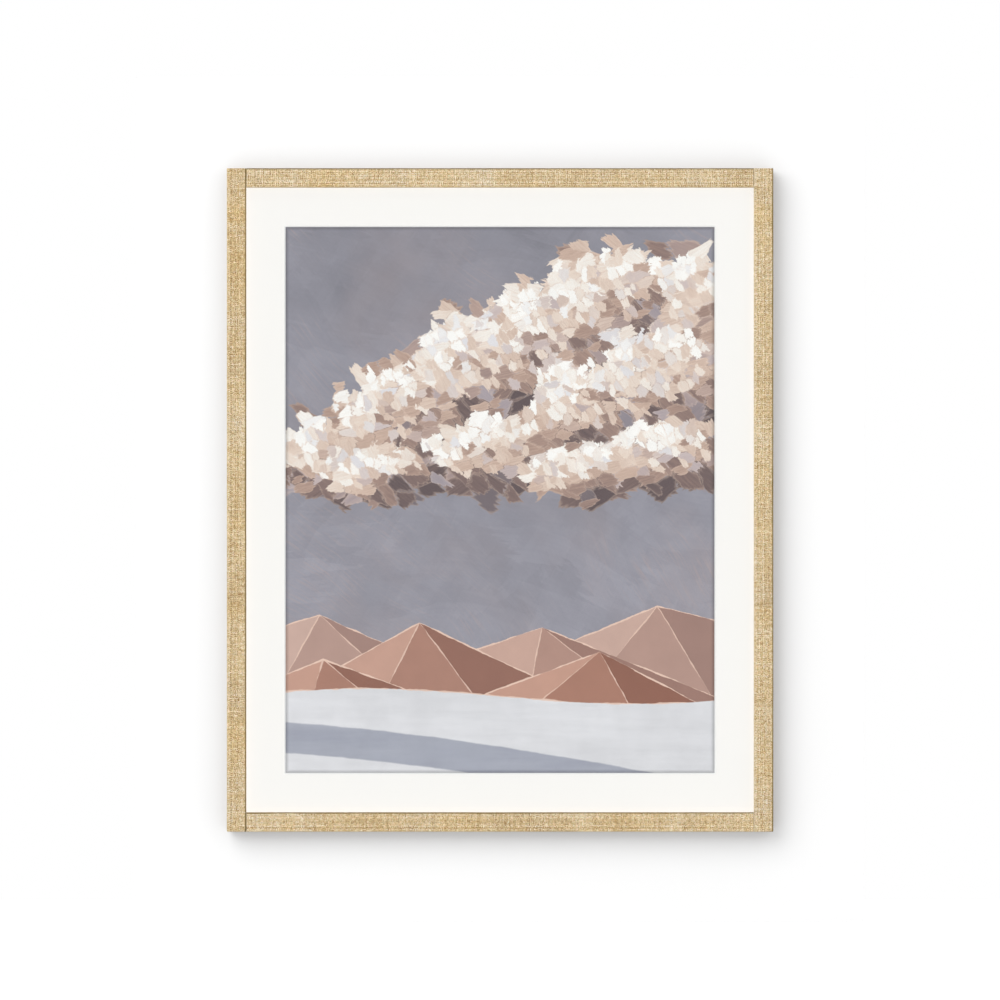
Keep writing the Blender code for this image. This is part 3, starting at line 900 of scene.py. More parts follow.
def hill_group():
    """A faceted hill: three sides under one peak, with thin, broken, light outlines."""
    tree, graph, given, result = new_group(
        "Faceted hill",
        {
            "Under": (0, 0, 0, 1),
            "Place": (0, 0, 0),
            "Peak": (0, 0, 0),
            "Left slope": 1.0,
            "Right slope": 1.0,
            "Left ridge": -0.3,
            "Right ridge": 0.3,
            "Lit side": (1, 1, 1, 1),
            "Front": (0.5, 0.5, 0.5, 1),
            "Shaded side": (0, 0, 0, 1),
            "Outline": (1, 1, 1, 1),
        },
        {"Colour": "COLOUR"},
    )
    x, y, _ = graph.split(graph.vector("SUBTRACT", given["Place"], given["Peak"]))
    right = graph.math("GREATER_THAN", x, 0.0)
    slope = graph.mix_value(right, given["Left slope"], given["Right slope"])
    fall = graph.times(graph.math("ABSOLUTE", x), slope)
    under_line = graph.minus(graph.times(y, -1.0), fall)
    broken = graph.noise(given["Place"], 2.2, 4.0, 0.7, flat=True)
    thin = graph.remap(broken, 0.36, 0.62, 0.001, 0.013)

    colour = given["Lit side"]
    line = 0.0
    for ridge, side in (("Left ridge", "Front"), ("Right ridge", "Shaded side")):
        past = graph.math("MULTIPLY_ADD", y, given[ridge], x)
        colour = graph.mix(graph.remap(past, -0.006, 0.006), colour, given[side])
        line = graph.math("MAXIMUM", line, graph.math("LESS_THAN", graph.math("ABSOLUTE", past), thin))
    colour = graph.mix(graph.times(line, 0.8), colour, given["Outline"])
    inside = graph.remap(under_line, -0.006, 0.006)
    colour = graph.mix(inside, given["Under"], colour)
    rim = graph.math("LESS_THAN", graph.math("ABSOLUTE", under_line), thin)
    give(graph, result, Colour=graph.mix(rim, colour, given["Outline"]))
    return tree


# Peak in decimetres from the window's middle, slopes to each side, lean of the two ridges, paleness
Hill = namedtuple("Hill", "peak left_slope right_slope left_ridge right_ridge pale")
HILLS = (
    Hill((-2.35, -1.50), 0.30, 0.44, -0.55, 1.10, 0.62),
    Hill((2.05, -1.38), 0.42, 0.25, -0.80, 0.60, 0.55),
    Hill((0.55, -1.66), 0.34, 0.40, -0.20, 1.30, 0.40),
    Hill((-1.05, -1.60), 0.55, 0.47, -0.50, 0.75, 0.12),
    Hill((1.30, -1.98), 0.37, 0.52, -1.20, 0.55, 0.0),
    Hill((-2.30, -2.08), 0.40, 0.36, -0.30, 1.20, 0.05),
)


def blend(under, over, share):
    return [a * (1 - share) + b * share for a, b in zip(under, over)]


def painted_sky(graph, place, dabs, settings):
    """Broad soft strokes in several directions, with some warm dry paint dragged over them."""
    _, height, _ = graph.split(place)
    wash = graph.noise(place, 0.45, 3.0, 0.6, flat=True)
    bend = graph.noise(place, 0.35, 1.0, 0.5, flat=True, output="Color")
    place = graph.vector("ADD", place, graph.drift(bend, 1.1))
    lift = graph.remap(height, -3.0, 3.5, 0.56, 0.45)
    lift = graph.plus(lift, graph.remap(wash, 0.3, 0.7, -0.06, 0.06))
    # Length and width in decimetres, slant, seed, and how much whole strokes and bristles differ
    for long, wide, slant, seed, whole, fine in (
        (0.95, 0.34, 0.15, 2.0, 0.036, 0.016),
        (0.60, 0.26, -1.05, 9.0, 0.026, 0.012),
        (0.42, 0.15, 0.75, 5.0, 0.018, 0.012),
    ):
        size = {"Length": long, "Width": wide}
        inputs = {"Place": place, **size, "Angle": slant, "Ragged": 0.7, "Seed": seed}
        stroke = graph.group(dabs, inputs)
        lift = graph.plus(lift, graph.remap(stroke["Draw"], 0, 1, -whole, whole))
        lift = graph.plus(lift, graph.remap(stroke["Bristles"], 0.2, 0.8, -fine, fine))
        place = slide(graph, place, graph.grey(lift))
    ground = tuple(settings.ground)
    dark = tuple(c * 0.72 for c in ground)
    light = tuple(min(1, c * 1.32) for c in ground)
    sky = graph.ramp(lift, ((0.3, dark), (0.5, ground), (0.7, light)))
    warm = graph.noise(graph.vector("ADD", place, (4.0, 1.0, 0)), 0.5, 3.0, 0.65, flat=True)
    warm = graph.times(graph.remap(warm, 0.45, 0.75), 0.35)
    sky = graph.mix(warm, sky, (0.345, 0.285, 0.290, 1))
    dry = graph.remap(stroke["Bristles"], 0.55, 0.68)
    dry = graph.times(dry, graph.remap(wash, 0.48, 0.62))
    return graph.mix(graph.times(dry, 0.34), sky, (0.44, 0.335, 0.31, 1)), wash


def painted_hills(graph, under, place, hill, settings, outline):
    """The hills, back to front, the far ones paler."""
    far_lit, far_front, far_shaded = (0.60, 0.45, 0.40), (0.50, 0.36, 0.32), (0.40, 0.28, 0.25)
    front = blend(settings.terracotta, settings.shade, 0.42)
    near_lit = blend(settings.terracotta, (0.72, 0.47, 0.38), 0.30)
    colour = under
    for made in HILLS:
        inputs = {
            "Under": colour,
            "Place": place,
            "Peak": (*made.peak, 0),
            "Left slope": made.left_slope,
            "Right slope": made.right_slope,
            "Left ridge": made.left_ridge,
            "Right ridge": made.right_ridge,
            "Lit side": (*blend(near_lit, far_lit, made.pale), 1),
            "Front": (*blend(front, far_front, made.pale), 1),
            "Shaded side": (*blend(settings.shade, far_shaded, made.pale), 1),
            "Outline": outline,
        }
        colour = graph.group(hill, inputs)["Colour"]
    return colour


def painted_foreground(graph, under, place, wash, settings, outline):
    """A pale plain with level strokes, and a bluish sweep across it."""
    x, y, _ = graph.split(place)
    level = graph.noise(place, 1.0, 4.0, 0.65, (0.5, 5.0, 1), flat=True)
    shore = graph.math("MULTIPLY_ADD", graph.math("SINE", graph.times(x, 0.9)), 0.10, y)
    tone = graph.remap(wash, 0.3, 0.7, 0.2, 0.8)
    tone = graph.plus(tone, graph.remap(level, 0.3, 0.7, -0.35, 0.35))
    dim = tuple(c * 0.92 for c in settings.pale)
    light = tuple(c * 1.05 for c in settings.pale)
    pale = graph.ramp(tone, ((0.0, dim), (1.0, light)))
    colour = graph.mix(graph.remap(shore, -2.55, -2.56), under, pale)
    broken = graph.noise(place, 2.2, 4.0, 0.7, flat=True)
    thin = graph.remap(broken, 0.42, 0.62, 0.0, 0.014)
    line = graph.math("LESS_THAN", graph.math("ABSOLUTE", graph.plus(shore, 2.555)), thin)
    colour = graph.mix(graph.times(line, 0.8), colour, outline)
    bow = graph.math("POWER", graph.math("MAXIMUM", graph.plus(x, 3.4), 0.0), 1.5)
    sweep = graph.math("MULTIPLY_ADD", bow, 0.055, y)
    inside = graph.remap(sweep, -2.86, -2.88)
    inside = graph.times(inside, graph.remap(sweep, -3.28, -3.26))
    blue = graph.mix(graph.remap(level, 0.3, 0.7), (0.345, 0.360, 0.430, 1), (0.395, 0.410, 0.475, 1))
    return graph.mix(inside, colour, blue)


def painting(graph, place, settings):
    """The whole painting's colour: sky, cloud bank, hills and pale foreground."""
    dabs = brush_dabs_group()
    bank = cloud_bank_group()
    hill = hill_group()
    peach = (0.78, 0.56, 0.46, 1)

    colour, wash = painted_sky(graph, place, dabs, settings)
    landing = slide(graph, place, colour)
    for layer in CLOUD_LAYERS:
        colour, landing = cloud_layer(graph, colour, landing, dabs, bank, layer)

    torn = graph.noise(place, 3.5, 3.0, 0.6, flat=True, output="Color")
    rough_place = graph.vector("ADD", place, graph.drift(torn, 0.03))
    colour = painted_hills(graph, colour, rough_place, hill, settings, peach)
    colour = painted_foreground(graph, colour, rough_place, wash, settings, peach)
    patchy = graph.noise(landing, 2.5, 4.0, 0.7, flat=True)
    patchy = graph.remap(patchy, 0.25, 0.75, 0.93, 1.07)
    return graph.mix(0.6, colour, graph.grey(patchy), "MULTIPLY")


def print_material(settings):
    """Matte art paper: the painting on its face, with painted shade along the window's edges, and bare
    paper on its back and edges.
    """
    material, graph, shader = new_material("painted_art_paper")
    decimetre = 0.1
    x, _, z = graph.split(object_place(graph, 1 / decimetre))
    place = graph.join(x, graph.minus(z, MIDDLE.y / decimetre))
    colour = painting(graph, place, settings)
    x, y, _ = graph.split(place)
    to_side = graph.minus(WINDOW_WIDTH / 2 / decimetre, graph.math("ABSOLUTE", x))
    to_top = graph.minus(WINDOW_HEIGHT / 2 / decimetre, graph.math("ABSOLUTE", y))
    # Painted shade: the print darkens towards the window's edges, where the mat would shade it
    painted_shade_border = 0.055  # the mat shades the print's edge
    to_edge = graph.math("MINIMUM", to_side, to_top)
    shade = graph.remap(to_edge, 0.0, painted_shade_border, 0.62, 1.0, smooth=True)
    colour = graph.mix(1.0, colour, graph.grey(shade), "MULTIPLY")
    facing = graph.math("LESS_THAN", facing_y(graph), -0.5)
    paper = graph.noise(place, 60.0, 2.0, 0.6)
    bare = graph.mix(paper, (0.80, 0.79, 0.76, 1), (0.86, 0.85, 0.82, 1))
    tooth = bump(graph, paper, 0.05 * MM, 0.25)
    inputs = {
        "Base Color": graph.mix(facing, bare, colour),
        "Roughness": graph.remap(paper, 0.3, 0.7, 0.62, 0.78),
        "Normal": tooth,
        "Specular IOR Level": 0.3,
    }
    graph.fill(shader, inputs)
    return material


# Mat, glass, wood, paper, metal and felt


def mat_material():
    """Warm off-white facing paper over a whiter core, which shows where the window is cut."""
    material, graph, shader = new_material("warm_white_mat")
    place = object_place(graph)
    tooth = graph.noise(place, 900.0, 3.0, 0.6)
    flecks = graph.noise(place, 260.0, 2.0, 0.5)
    facing = graph.mix(flecks, (0.945, 0.926, 0.900, 1), (0.957, 0.938, 0.914, 1))
    core = graph.math("GREATER_THAN", facing_y(graph), -0.9)
    inputs = {
        "Base Color": graph.mix(core, facing, (0.975, 0.975, 0.965, 1)),
        "Roughness": graph.remap(tooth, 0.3, 0.7, 0.80, 0.95),
        "Normal": bump(graph, tooth, 0.03 * MM, 0.15),
        "Specular IOR Level": 0.2,
    }
    graph.fill(shader, inputs)
    return material


def glass_material():
    """Clear picture glass. Light passes straight through it, so that it casts no shadow."""
    material, graph, shader = new_material("clear_picture_glass")
    inputs = {
        "Base Color": (0.985, 0.995, 0.99, 1),
        "Roughness": 0.0,
        "Metallic": 0.0,
        "Transmission Weight": 1.0,
        "IOR": 1.5,
        "Specular IOR Level": 0.15,
    }
    graph.fill(shader, inputs)
    clear_where(graph, shader, graph.add("ShaderNodeLightPath").outputs["Is Shadow Ray"])
    return material


def wood_grain_group():
    """Growth rings and pores of straight-grained wood that runs along Z."""
    tree, graph, given, result = new_group(
        "Wood grain",
        {"Place": (0, 0, 0), "Pale": (1, 1, 1, 1), "Dark": (0, 0, 0, 1), "Rings": 220.0},
        {"Colour": "COLOUR", "Height": "VALUE"},
    )
    stretched = graph.vector("MULTIPLY", given["Place"], (1, 1, 0.06))
    drift = graph.noise(stretched, 14.0, 2.0, 0.5, output="Color")
    moved = graph.vector("ADD", stretched, graph.drift(drift, 0.02))
    x, y, _ = graph.split(moved)
    across_rings = graph.plus(x, graph.times(y, 0.4))
    rings = graph.math("SINE", graph.times(across_rings, given["Rings"]))
    pores = graph.noise(given["Place"], 900.0, 2.0, 0.7, (1, 1, 0.03))
    amount = graph.remap(rings, -1, 1, 0.1, 0.75)
    amount = graph.plus(amount, graph.remap(pores, 0.3, 0.7, -0.15, 0.25))
    give(graph, result, Colour=graph.mix(amount, given["Pale"], given["Dark"]), Height=pores)
    return tree


def wood_material(name, grain, pale, dark, rings, lengthwise):
    """Bare wood. lengthwise is the axis that the grain runs along, X or Z."""
    material, graph, shader = new_material(name)
    turn = (0, math.pi / 2, 0) if lengthwise == "X" else (0, 0, 0)
    place = object_place(graph, turn=turn)
    wood = graph.group(grain, {"Place": place, "Pale": pale, "Dark": dark, "Rings": rings})
    inputs = {
        "Base Color": wood["Colour"],
        "Roughness": graph.remap(wood["Height"], 0.3, 0.7, 0.5, 0.75),
        "Normal": bump(graph, wood["Height"], 0.1 * MM, 0.5),
    }
    graph.fill(shader, inputs)
    return material


def kraft_material():
    """Brown kraft paper: long pale and dark fibres, streaks and a faint machine-made rib."""
    material, graph, shader = new_material("kraft_paper")
    place = object_place(graph)
    cloudy = graph.noise(place, 22.0, 4.0, 0.6)
    fibres = graph.noise(place, 1500.0, 3.0, 0.7, (1, 1, 0.12))
    cross_fibres = graph.noise(place, 1100.0, 2.0, 0.7, (0.15, 1, 1))
    streaks = graph.noise(place, 110.0, 4.0, 0.6, (1, 1, 0.12))
    flecks = graph.noise(place, 520.0, 3.0, 0.7, (1, 1, 0.35))
    rib_spacing = 1.1 * MM
    rib = graph.math("SINE", graph.times(graph.split(place)[0], 2 * math.pi / rib_spacing))
    shade = graph.remap(cloudy, 0.3, 0.7, 0.15, 0.70)
    shade = graph.plus(shade, graph.remap(streaks, 0.35, 0.65, -0.10, 0.18))
    colour = graph.mix(shade, (0.375, 0.245, 0.140, 1), (0.530, 0.385, 0.245, 1))
    for mask, none, full, share, tint in (
        (flecks, 0.55, 0.75, 0.45, (0.66, 0.51, 0.35, 1)),
        (flecks, 0.45, 0.28, 0.35, (0.25, 0.155, 0.085, 1)),
        (fibres, 0.56, 0.74, 0.5, (0.63, 0.48, 0.32, 1)),
        (cross_fibres, 0.60, 0.78, 0.5, (0.24, 0.145, 0.075, 1)),
        (rib, -1, 1, 0.06, (0.2, 0.12, 0.06, 1)),
    ):
        colour = graph.mix(graph.remap(mask, none, full, 0, share), colour, tint)
    height = graph.plus(fibres, graph.times(rib, 0.15))
    inputs = {
        "Base Color": colour,
        "Roughness": graph.remap(cloudy, 0.3, 0.7, 0.62, 0.8),
        "Normal": bump(graph, height, 0.06 * MM, 0.5),
        "Specular IOR Level": 0.35,
    }
    graph.fill(shader, inputs)
    return material


def foam_material():
    """Foam board: smooth white paper faces, and a core of fine cells at its edges."""
    material, graph, shader = new_material("white_foam_board")
    place = object_place(graph)
    cells = graph.add("ShaderNodeTexVoronoi", {"Vector": place, "Scale": 1800.0}).outputs[0]
    facing = graph.math("ABSOLUTE", facing_y(graph))
    edge = graph.math("LESS_THAN", facing, 0.5)
    fine = graph.noise(place, 400.0, 2.0, 0.5)
    paper = graph.mix(fine, (0.86, 0.86, 0.84, 1), (0.90, 0.90, 0.88, 1))
    foam = graph.mix(cells, (0.92, 0.92, 0.91, 1), (0.78, 0.78, 0.78, 1))
    height = graph.times(cells, edge)
    inputs = {
        "Base Color": graph.mix(edge, paper, foam),
        "Roughness": graph.mix_value(edge, 0.55, 0.9),
        "Normal": bump(graph, height, 0.2 * MM, 0.6),
    }
    graph.fill(shader, inputs)
    return material


def metal_wear_group():
    """Rolled metal: long scratches, cloudy patches and a few dull spots."""
    tree, graph, given, result = new_group(
        "Metal wear",
        {"Place": (0, 0, 0), "Bright": (1, 1, 1, 1), "Dull": (0, 0, 0, 1), "Smooth": 0.3},
        {"Colour": "COLOUR", "Roughness": "VALUE", "Height": "VALUE"},
    )
    scratches = graph.noise(given["Place"], 2600.0, 3.0, 0.7, (0.05, 1, 1))
    patches = graph.noise(given["Place"], 160.0, 3.0, 0.6)
    amount = graph.plus(graph.remap(patches, 0.35, 0.7), graph.remap(scratches, 0.4, 0.7, -0.2, 0.3))
    rough = graph.plus(given["Smooth"], graph.times(amount, 0.18))
    colour = graph.mix(graph.times(amount, 0.6), given["Bright"], given["Dull"])
    give(graph, result, Colour=colour, Roughness=rough, Height=scratches)
    return tree


def metal_material(name, wear, bright, dull, smooth):
    material, graph, shader = new_material(name)
    inputs = {"Place": object_place(graph), "Bright": bright, "Dull": dull, "Smooth": smooth}
    found = graph.group(wear, inputs)
    inputs = {
        "Base Color": found["Colour"],
        "Metallic": 1.0,
        "Roughness": found["Roughness"],
        "Normal": bump(graph, found["Height"], 0.01 * MM, 0.4),
    }
    graph.fill(shader, inputs)
    return material


def felt_material():
    """Brown pressed felt with stray pale fibres."""
    material, graph, shader = new_material("brown_felt")
    place = object_place(graph)
    fuzz = graph.noise(place, 2400.0, 4.0, 0.75)
    clumps = graph.noise(place, 500.0, 3.0, 0.6)
    colour = graph.mix(clumps, (0.075, 0.055, 0.045, 1), (0.150, 0.115, 0.090, 1))
    colour = graph.mix(graph.remap(fuzz, 0.56, 0.7, 0, 0.6), colour, (0.30, 0.25, 0.20, 1))
    inputs = {
        "Base Color": colour,
        "Roughness": graph.remap(fuzz, 0.3, 0.7, 0.85, 1.0),
        "Normal": bump(graph, fuzz, 0.3 * MM, 0.8),
        "Sheen Weight": 0.4,
        "Sheen Roughness": 0.6,
    }
    graph.fill(shader, inputs)
    return material


# Pieces of the back


def eased_copy(node, name, width):
    """A copy of a CAD node with its sharp edges rounded."""
    select_only(cad[node])
    bpy.ops.object.duplicate()
    copy = bpy.context.active_object
    name_piece(copy, name)
    for key in list(copy.keys()):
        del copy[key]
    copy.parent = None
    with edit_mode():
        bpy.ops.mesh.select_all(action="SELECT")
        bpy.ops.mesh.remove_doubles(threshold=0.01 * MM)
        bpy.ops.mesh.dissolve_limited(angle_limit=math.radians(1))
    sharp = math.radians(25)
    apply_modifier(copy, "BEVEL", width=width, segments=2, limit_method="ANGLE", angle_limit=sharp)
    bpy.ops.object.shade_smooth_by_angle(angle=math.radians(35))
    return copy


WRINKLES = 9
WRINKLE_SEED = 11
WRINKLE_WIDTHS = (0.008, 0.02)  # narrowest and widest, from the crest to a third of its height
WRINKLE_BEND = 0.02  # how far a wrinkle strays from a straight line


def wrinkle_heights(x, z):
    """Low ridges and furrows, slightly bent, that cross the sheet at random."""
    rng = np.random.default_rng(WRINKLE_SEED)
    off_x, off_z = 0.25, 0.3  # how far from the picture's middle they may pass
    heights = np.zeros(len(x))
    for _ in range(WRINKLES):
        turn = rng.uniform(0, math.pi)
        from_x = x - rng.uniform(-off_x, off_x)
        from_z = z - MIDDLE.y - rng.uniform(-off_z, off_z)
        across = from_x * math.cos(turn) + from_z * math.sin(turn)
        along = x * math.sin(turn) - z * math.cos(turn)
        bend = WRINKLE_BEND * np.sin(9 * along + rng.uniform(0, 6))
        crest = np.exp(-(((across + bend) / rng.uniform(*WRINKLE_WIDTHS)) ** 2))
        heights += crest * rng.choice((-1, 1))
    return heights


def add_dust_cover(settings):
    """A sheet of kraft paper glued to the sticks, which dips and wrinkles between them."""
    columns, rows = 110, 134
    thickness = 0.3 * MM
    ease_in = 0.06  # from the glued rim to where the paper hangs wholly free
    low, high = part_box("dust_cover")
    paper, column, row = add_patch("dust_cover_paper", columns, rows)
    x = low.x + (high.x - low.x) * column / columns
    z = low.z + (high.z - low.z) * row / rows
    glued = FACE_WIDTH - RABBET
    to_side = np.minimum(x - FRAME_LOW.x, FRAME_HIGH.x - x)
    to_end = np.minimum(z - FRAME_LOW.y, FRAME_HIGH.y - z)
    free = eased(np.clip((np.minimum(to_side, to_end) - glued) / ease_in, 0, 1))
    depth = (settings.wrinkle * wrinkle_heights(x, z) - settings.sag) * free
    points = np.stack((x, high.y + depth, z), axis=1)
    paper.data.vertices.foreach_set("co", points.astype(np.float32).ravel())
    select_only(paper)
    flip_faces()
    apply_modifier(paper, "SOLIDIFY", thickness=thickness, offset=-1)
    bpy.ops.object.shade_smooth_by_angle(angle=math.radians(40))
    return paper


def add_disc(name, middle, radius, low, high, rounding):
    """A round piece on the wall side: a cylinder along Y with rounded ends."""
    sides = 48
    ring_widths = (0.12, 0.3, 0.4)  # rings cut into each end, as shares of the radius
    bpy.ops.object.select_all(action="DESELECT")
    bpy.ops.mesh.primitive_cylinder_add(
        vertices=sides,
        radius=radius,
        depth=high - low,
        location=(0, 0, 0),
        rotation=(math.pi / 2, 0, 0),
    )
    disc = bpy.context.active_object
    name_piece(disc, name)
    bpy.ops.object.transform_apply(location=True, rotation=True, scale=True)
    with edit_mode():
        bpy.ops.mesh.select_all(action="DESELECT")
        bpy.ops.mesh.select_mode(type="FACE")
    for face in disc.data.polygons:
        face.select = abs(face.normal.y) > 0.9
    with edit_mode():
        for share in ring_widths:
            bpy.ops.mesh.inset(thickness=radius * share, depth=0)
    apply_modifier(disc, "BEVEL", width=rounding, segments=4, limit_method="ANGLE")
    for vertex in disc.data.vertices:
        vertex.co += Vector((middle[0], (low + high) / 2, middle[1]))
    bpy.ops.object.shade_smooth_by_angle(angle=math.radians(40))
    return disc


# Stage


def add_light(kind, name, receivers, blockers=None, mirrored=False):
    """A light that reaches only its receivers. mirrored tells if the glass may show it."""
    data = bpy.data.lights.new(name, kind)
    light = bpy.data.objects.new(name, data)
    bpy.context.scene.collection.objects.link(light)
    light.visible_camera = False
    light.visible_glossy = mirrored
    light.visible_transmission = mirrored
    light.light_linking.receiver_collection = receivers
    if blockers:
        light.light_linking.blocker_collection = blockers
    return light


def add_softbox(name, location, size, brightness, receivers, **settings):
    """A square light that faces the picture's middle. brightness is that of its surface."""
    light = add_light("AREA", name, receivers, **settings)
    light.data.shape = "SQUARE"
    light.data.size = size
    light.data.energy = brightness * math.pi * size * size
    light.location = location
    aim = Vector((MIDDLE.x, 0, MIDDLE.y)) - light.location
    light.rotation_euler = aim.to_track_quat("-Z", "Y").to_euler()
    return light


def add_even_light(name, level, receivers, spread=8, direction=(0.04, 1, -0.04), **settings):
    """Even light from one side. level is how bright it makes a white wall that faces it."""
    light = add_light("SUN", name, receivers, **settings)
    light.data.energy = level * math.pi
    light.data.angle = math.radians(spread)
    light.rotation_euler = Vector(direction).to_track_quat("-Z", "Y").to_euler()
    return light


def stage_sheet(name, size, location, rotation, colour):
    """A plain plane that shows only its front, so that other views see past it."""
    bpy.ops.object.select_all(action="DESELECT")
    bpy.ops.mesh.primitive_plane_add(size=1, location=location, rotation=rotation)
    sheet = bpy.context.active_object
    sheet.name = name
    sheet.scale = (*size, 1)
    bpy.ops.object.transform_apply(location=True, rotation=True, scale=True)
    material, graph, shader = new_material(name + "_paint")
    graph.fill(shader, {"Base Color": colour, "Roughness": 0.95, "Specular IOR Level": 0.0})
    clear_where(graph, shader, graph.add("ShaderNodeNewGeometry").outputs["Backfacing"])
    sheet.data.materials.append(material)
    sheet.visible_shadow = False
    sheet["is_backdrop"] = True
    return sheet


def light_collection(name, members, state):
    """The objects that a light reaches, or leaves out."""
    collection = bpy.data.collections.new(name)
    for member in members:
        collection.objects.link(member)
    for entry in collection.collection_objects:
        entry.light_linking.link_state = state
    return collection


def add_camera(scene, settings):
    """A camera square on to the picture, far enough away to take in the view's width."""
    sensor = 36.0
    camera_data = bpy.data.cameras.new("camera")
    camera_data.lens = settings.lens
    camera_data.sensor_width = sensor
    camera_data.clip_end = 60
    camera = bpy.data.objects.new("camera", camera_data)
    scene.collection.objects.link(camera)
    distance = settings.view_width * settings.lens / sensor
    camera.location = (MIDDLE.x, FACE_Y - distance, MIDDLE.y)
    camera.rotation_euler = (math.pi / 2, 0, 0)
    scene.camera = camera


def add_wall_and_floor():
    """A wall that ends where the picture's shadow does: past it the white world shows, as bright."""
    margin = 0.12
    clearance = 0.5 * MM  # between the bumpers and the wall
    wall_size = (FRAME_WIDTH + 2 * margin, FRAME_HEIGHT + 2 * margin)
    wall_place = (MIDDLE.x, clearance, MIDDLE.y)
    wall = stage_sheet("wall", wall_size, wall_place, (math.pi / 2, 0, 0), (0.96, 0.96, 0.96, 1))
    wall.visible_diffuse = False
    wall.visible_glossy = False  # the metal on the back would mirror its unlit side
    drop = 1.1  # below the picture's middle
    floor_place = (0, 0, MIDDLE.y - drop)
    floor = stage_sheet("floor", (16, 16), floor_place, (0, 0, 0), (0.90, 0.90, 0.90, 1))
    floor.visible_diffuse = False
    return wall, floor


def add_lights(level, wall, floor):
    """Lights the wall, the floor, the picture under the glass and all the rest on their own."""
    on_picture = (cad["window_mat"], cad["art_print"])
    behind = light_collection("lit_wall", (wall,), "INCLUDE")
    below = light_collection("lit_floor", (floor,), "INCLUDE")
    picture = light_collection("lit_picture", on_picture, "INCLUDE")
    rest = light_collection("lit_frame", (wall, floor, *on_picture), "EXCLUDE")
    up = MIDDLE.y

    # The wall's key comes from the left and from above, as the photograph's shadow tells
    far = 9.0
    softness = 0.8  # half of its width, as a share of its distance
    add_even_light("wall_front", 0.13 * level, behind)
    add_softbox("wall_sky", (0, -0.45, up), 6.0, 0.62 * level, behind)
    key = add_softbox("wall_key", (-far, -far, up + far), 2 * softness * far, 2.4 * level, behind)
    key.rotation_euler = (math.pi / 2, 0, 0)

    add_even_light("floor_above", 1.25 * level, below, spread=40, direction=(0, 0, -1))

    add_even_light("picture_front", 0.74 * level, picture, blockers=picture)
    for name, x, z in (("left", -4, 0), ("right", 4, 0), ("above", 0, 4), ("below", 0, -4)):
        place = (x, -1.8, up + z)
        add_softbox("picture_" + name, place, 2.0, 2.73 * level, picture, blockers=picture)

    add_even_light("frame_front", 0.56 * level, rest)
    add_even_light("frame_round", 0.28 * level, rest, spread=150, direction=(0, 1, -0.5))
    add_softbox("frame_key", (-3.2, -4.0, up + 3.2), 2.4, 3.6 * level, rest)
    add_softbox("left", (-4.0, -1.5, up + 1.0), 2.5, 1.5 * level, rest, mirrored=True)
    add_softbox("right", (4.0, -1.5, up + 0.5), 2.5, 1.5 * level, rest, mirrored=True)
    add_softbox("behind_left", (-3.8, 2.0, up + 2.4), 2.0, 14.0 * level, rest)
    add_softbox("behind_right", (3.0, 4.5, up + 1.0), 2.0, 6.0 * level, rest)


def add_world(scene, level):
    """White to the camera, and a dimmer fill to all that it lights."""
    world = bpy.data.worlds.new("soft_white")
    scene.world = world
    world.use_nodes = True
    world.node_tree.nodes.clear()
    graph = Graph(world.node_tree)
    path = graph.add("ShaderNodeLightPath").outputs
    strength = graph.mix_value(path["Is Glossy Ray"], 0.06 * level, 0.30 * level)
    strength = graph.mix_value(path["Is Camera Ray"], strength, 1.0)
    sky = graph.add("ShaderNodeBackground", {"Color": (1, 1, 1, 1), "Strength": strength})
    graph.add("ShaderNodeOutputWorld", {"Surface": sky.outputs[0]})
    scene.view_settings.view_transform = "Standard"


class FRAMEDPRINT_OT_stage(bpy.types.Operator):
    """Add the camera, the wall, the floor and the lights"""

    bl_idname = "framedprint.stage"
    bl_label = "Stage"

    def execute(self, context):
        settings = context.scene.framed_print_stage
        add_camera(context.scene, settings)
        add_lights(settings.exposure, *add_wall_and_floor())
        add_world(context.scene, settings.exposure)
        return {"FINISHED"}


class FRAMEDPRINT_OT_linen(bpy.types.Operator):
    """Wrap each stick of the frame in woven linen"""

    bl_idname = "framedprint.linen"
    bl_label = "Linen"

    def execute(self, context):
        settings = context.scene.framed_print_linen
        material = linen_material(settings)
        # Which edge of each stick's face gets the painted shade: the opening's where True, the outer
        # one where False; the painted light goes on the other
        dark_inside = {"left_stile": True, "right_stile": False, "top_rail": False, "bottom_rail": True}
        for side in SIDES:
            stile = side.endswith("stile")
            length = FRAME_HEIGHT if stile else SIGHT_WIDTH
            wrap = Wrap(settings, side, length, stile, dark_inside[side]).build()
            wrap.visible_diffuse = False
            hand_over(wrap, material, side + "_linen")
        return {"FINISHED"}


class FRAMEDPRINT_OT_wood(bpy.types.Operator):
    """Finish the sticks' pine cores and the beech dowels"""

    bl_idname = "framedprint.wood"
    bl_label = "Wooden cores"

    def execute(self, context):
        grain = wood_grain_group()
        pine = ((0.62, 0.44, 0.25, 1), (0.42, 0.26, 0.12, 1), 900.0)
        beech = ((0.66, 0.48, 0.33, 1), (0.50, 0.33, 0.20, 1), 1600.0)
        finish_nodes(("left_stile", "right_stile"), wood_material("pine_upright", grain, *pine, "Z"))
        finish_nodes(("top_rail", "bottom_rail"), wood_material("pine_level", grain, *pine, "X"))
        dowels = [name for name in cad if name.endswith("_dowel")]
        finish_nodes(dowels, wood_material("beech_dowel", grain, *beech, "X"))
        return {"FINISHED"}


class FRAMEDPRINT_OT_glazing(bpy.types.Operator):
    """Finish the sheet of glass"""

    bl_idname = "framedprint.glazing"
    bl_label = "Glazing"

    def execute(self, context):
        finish_nodes(("glazing",), glass_material())
        # Light between the mat and the glass would darken the mat along the frame
        cad["glazing"].visible_diffuse = False
        return {"FINISHED"}


class FRAMEDPRINT_OT_mat(bpy.types.Operator):
    """Finish the window mat"""

    bl_idname = "framedprint.mat"
    bl_label = "Window mat"

    def execute(self, context):
        finish_nodes(("window_mat",), mat_material())
        return {"FINISHED"}


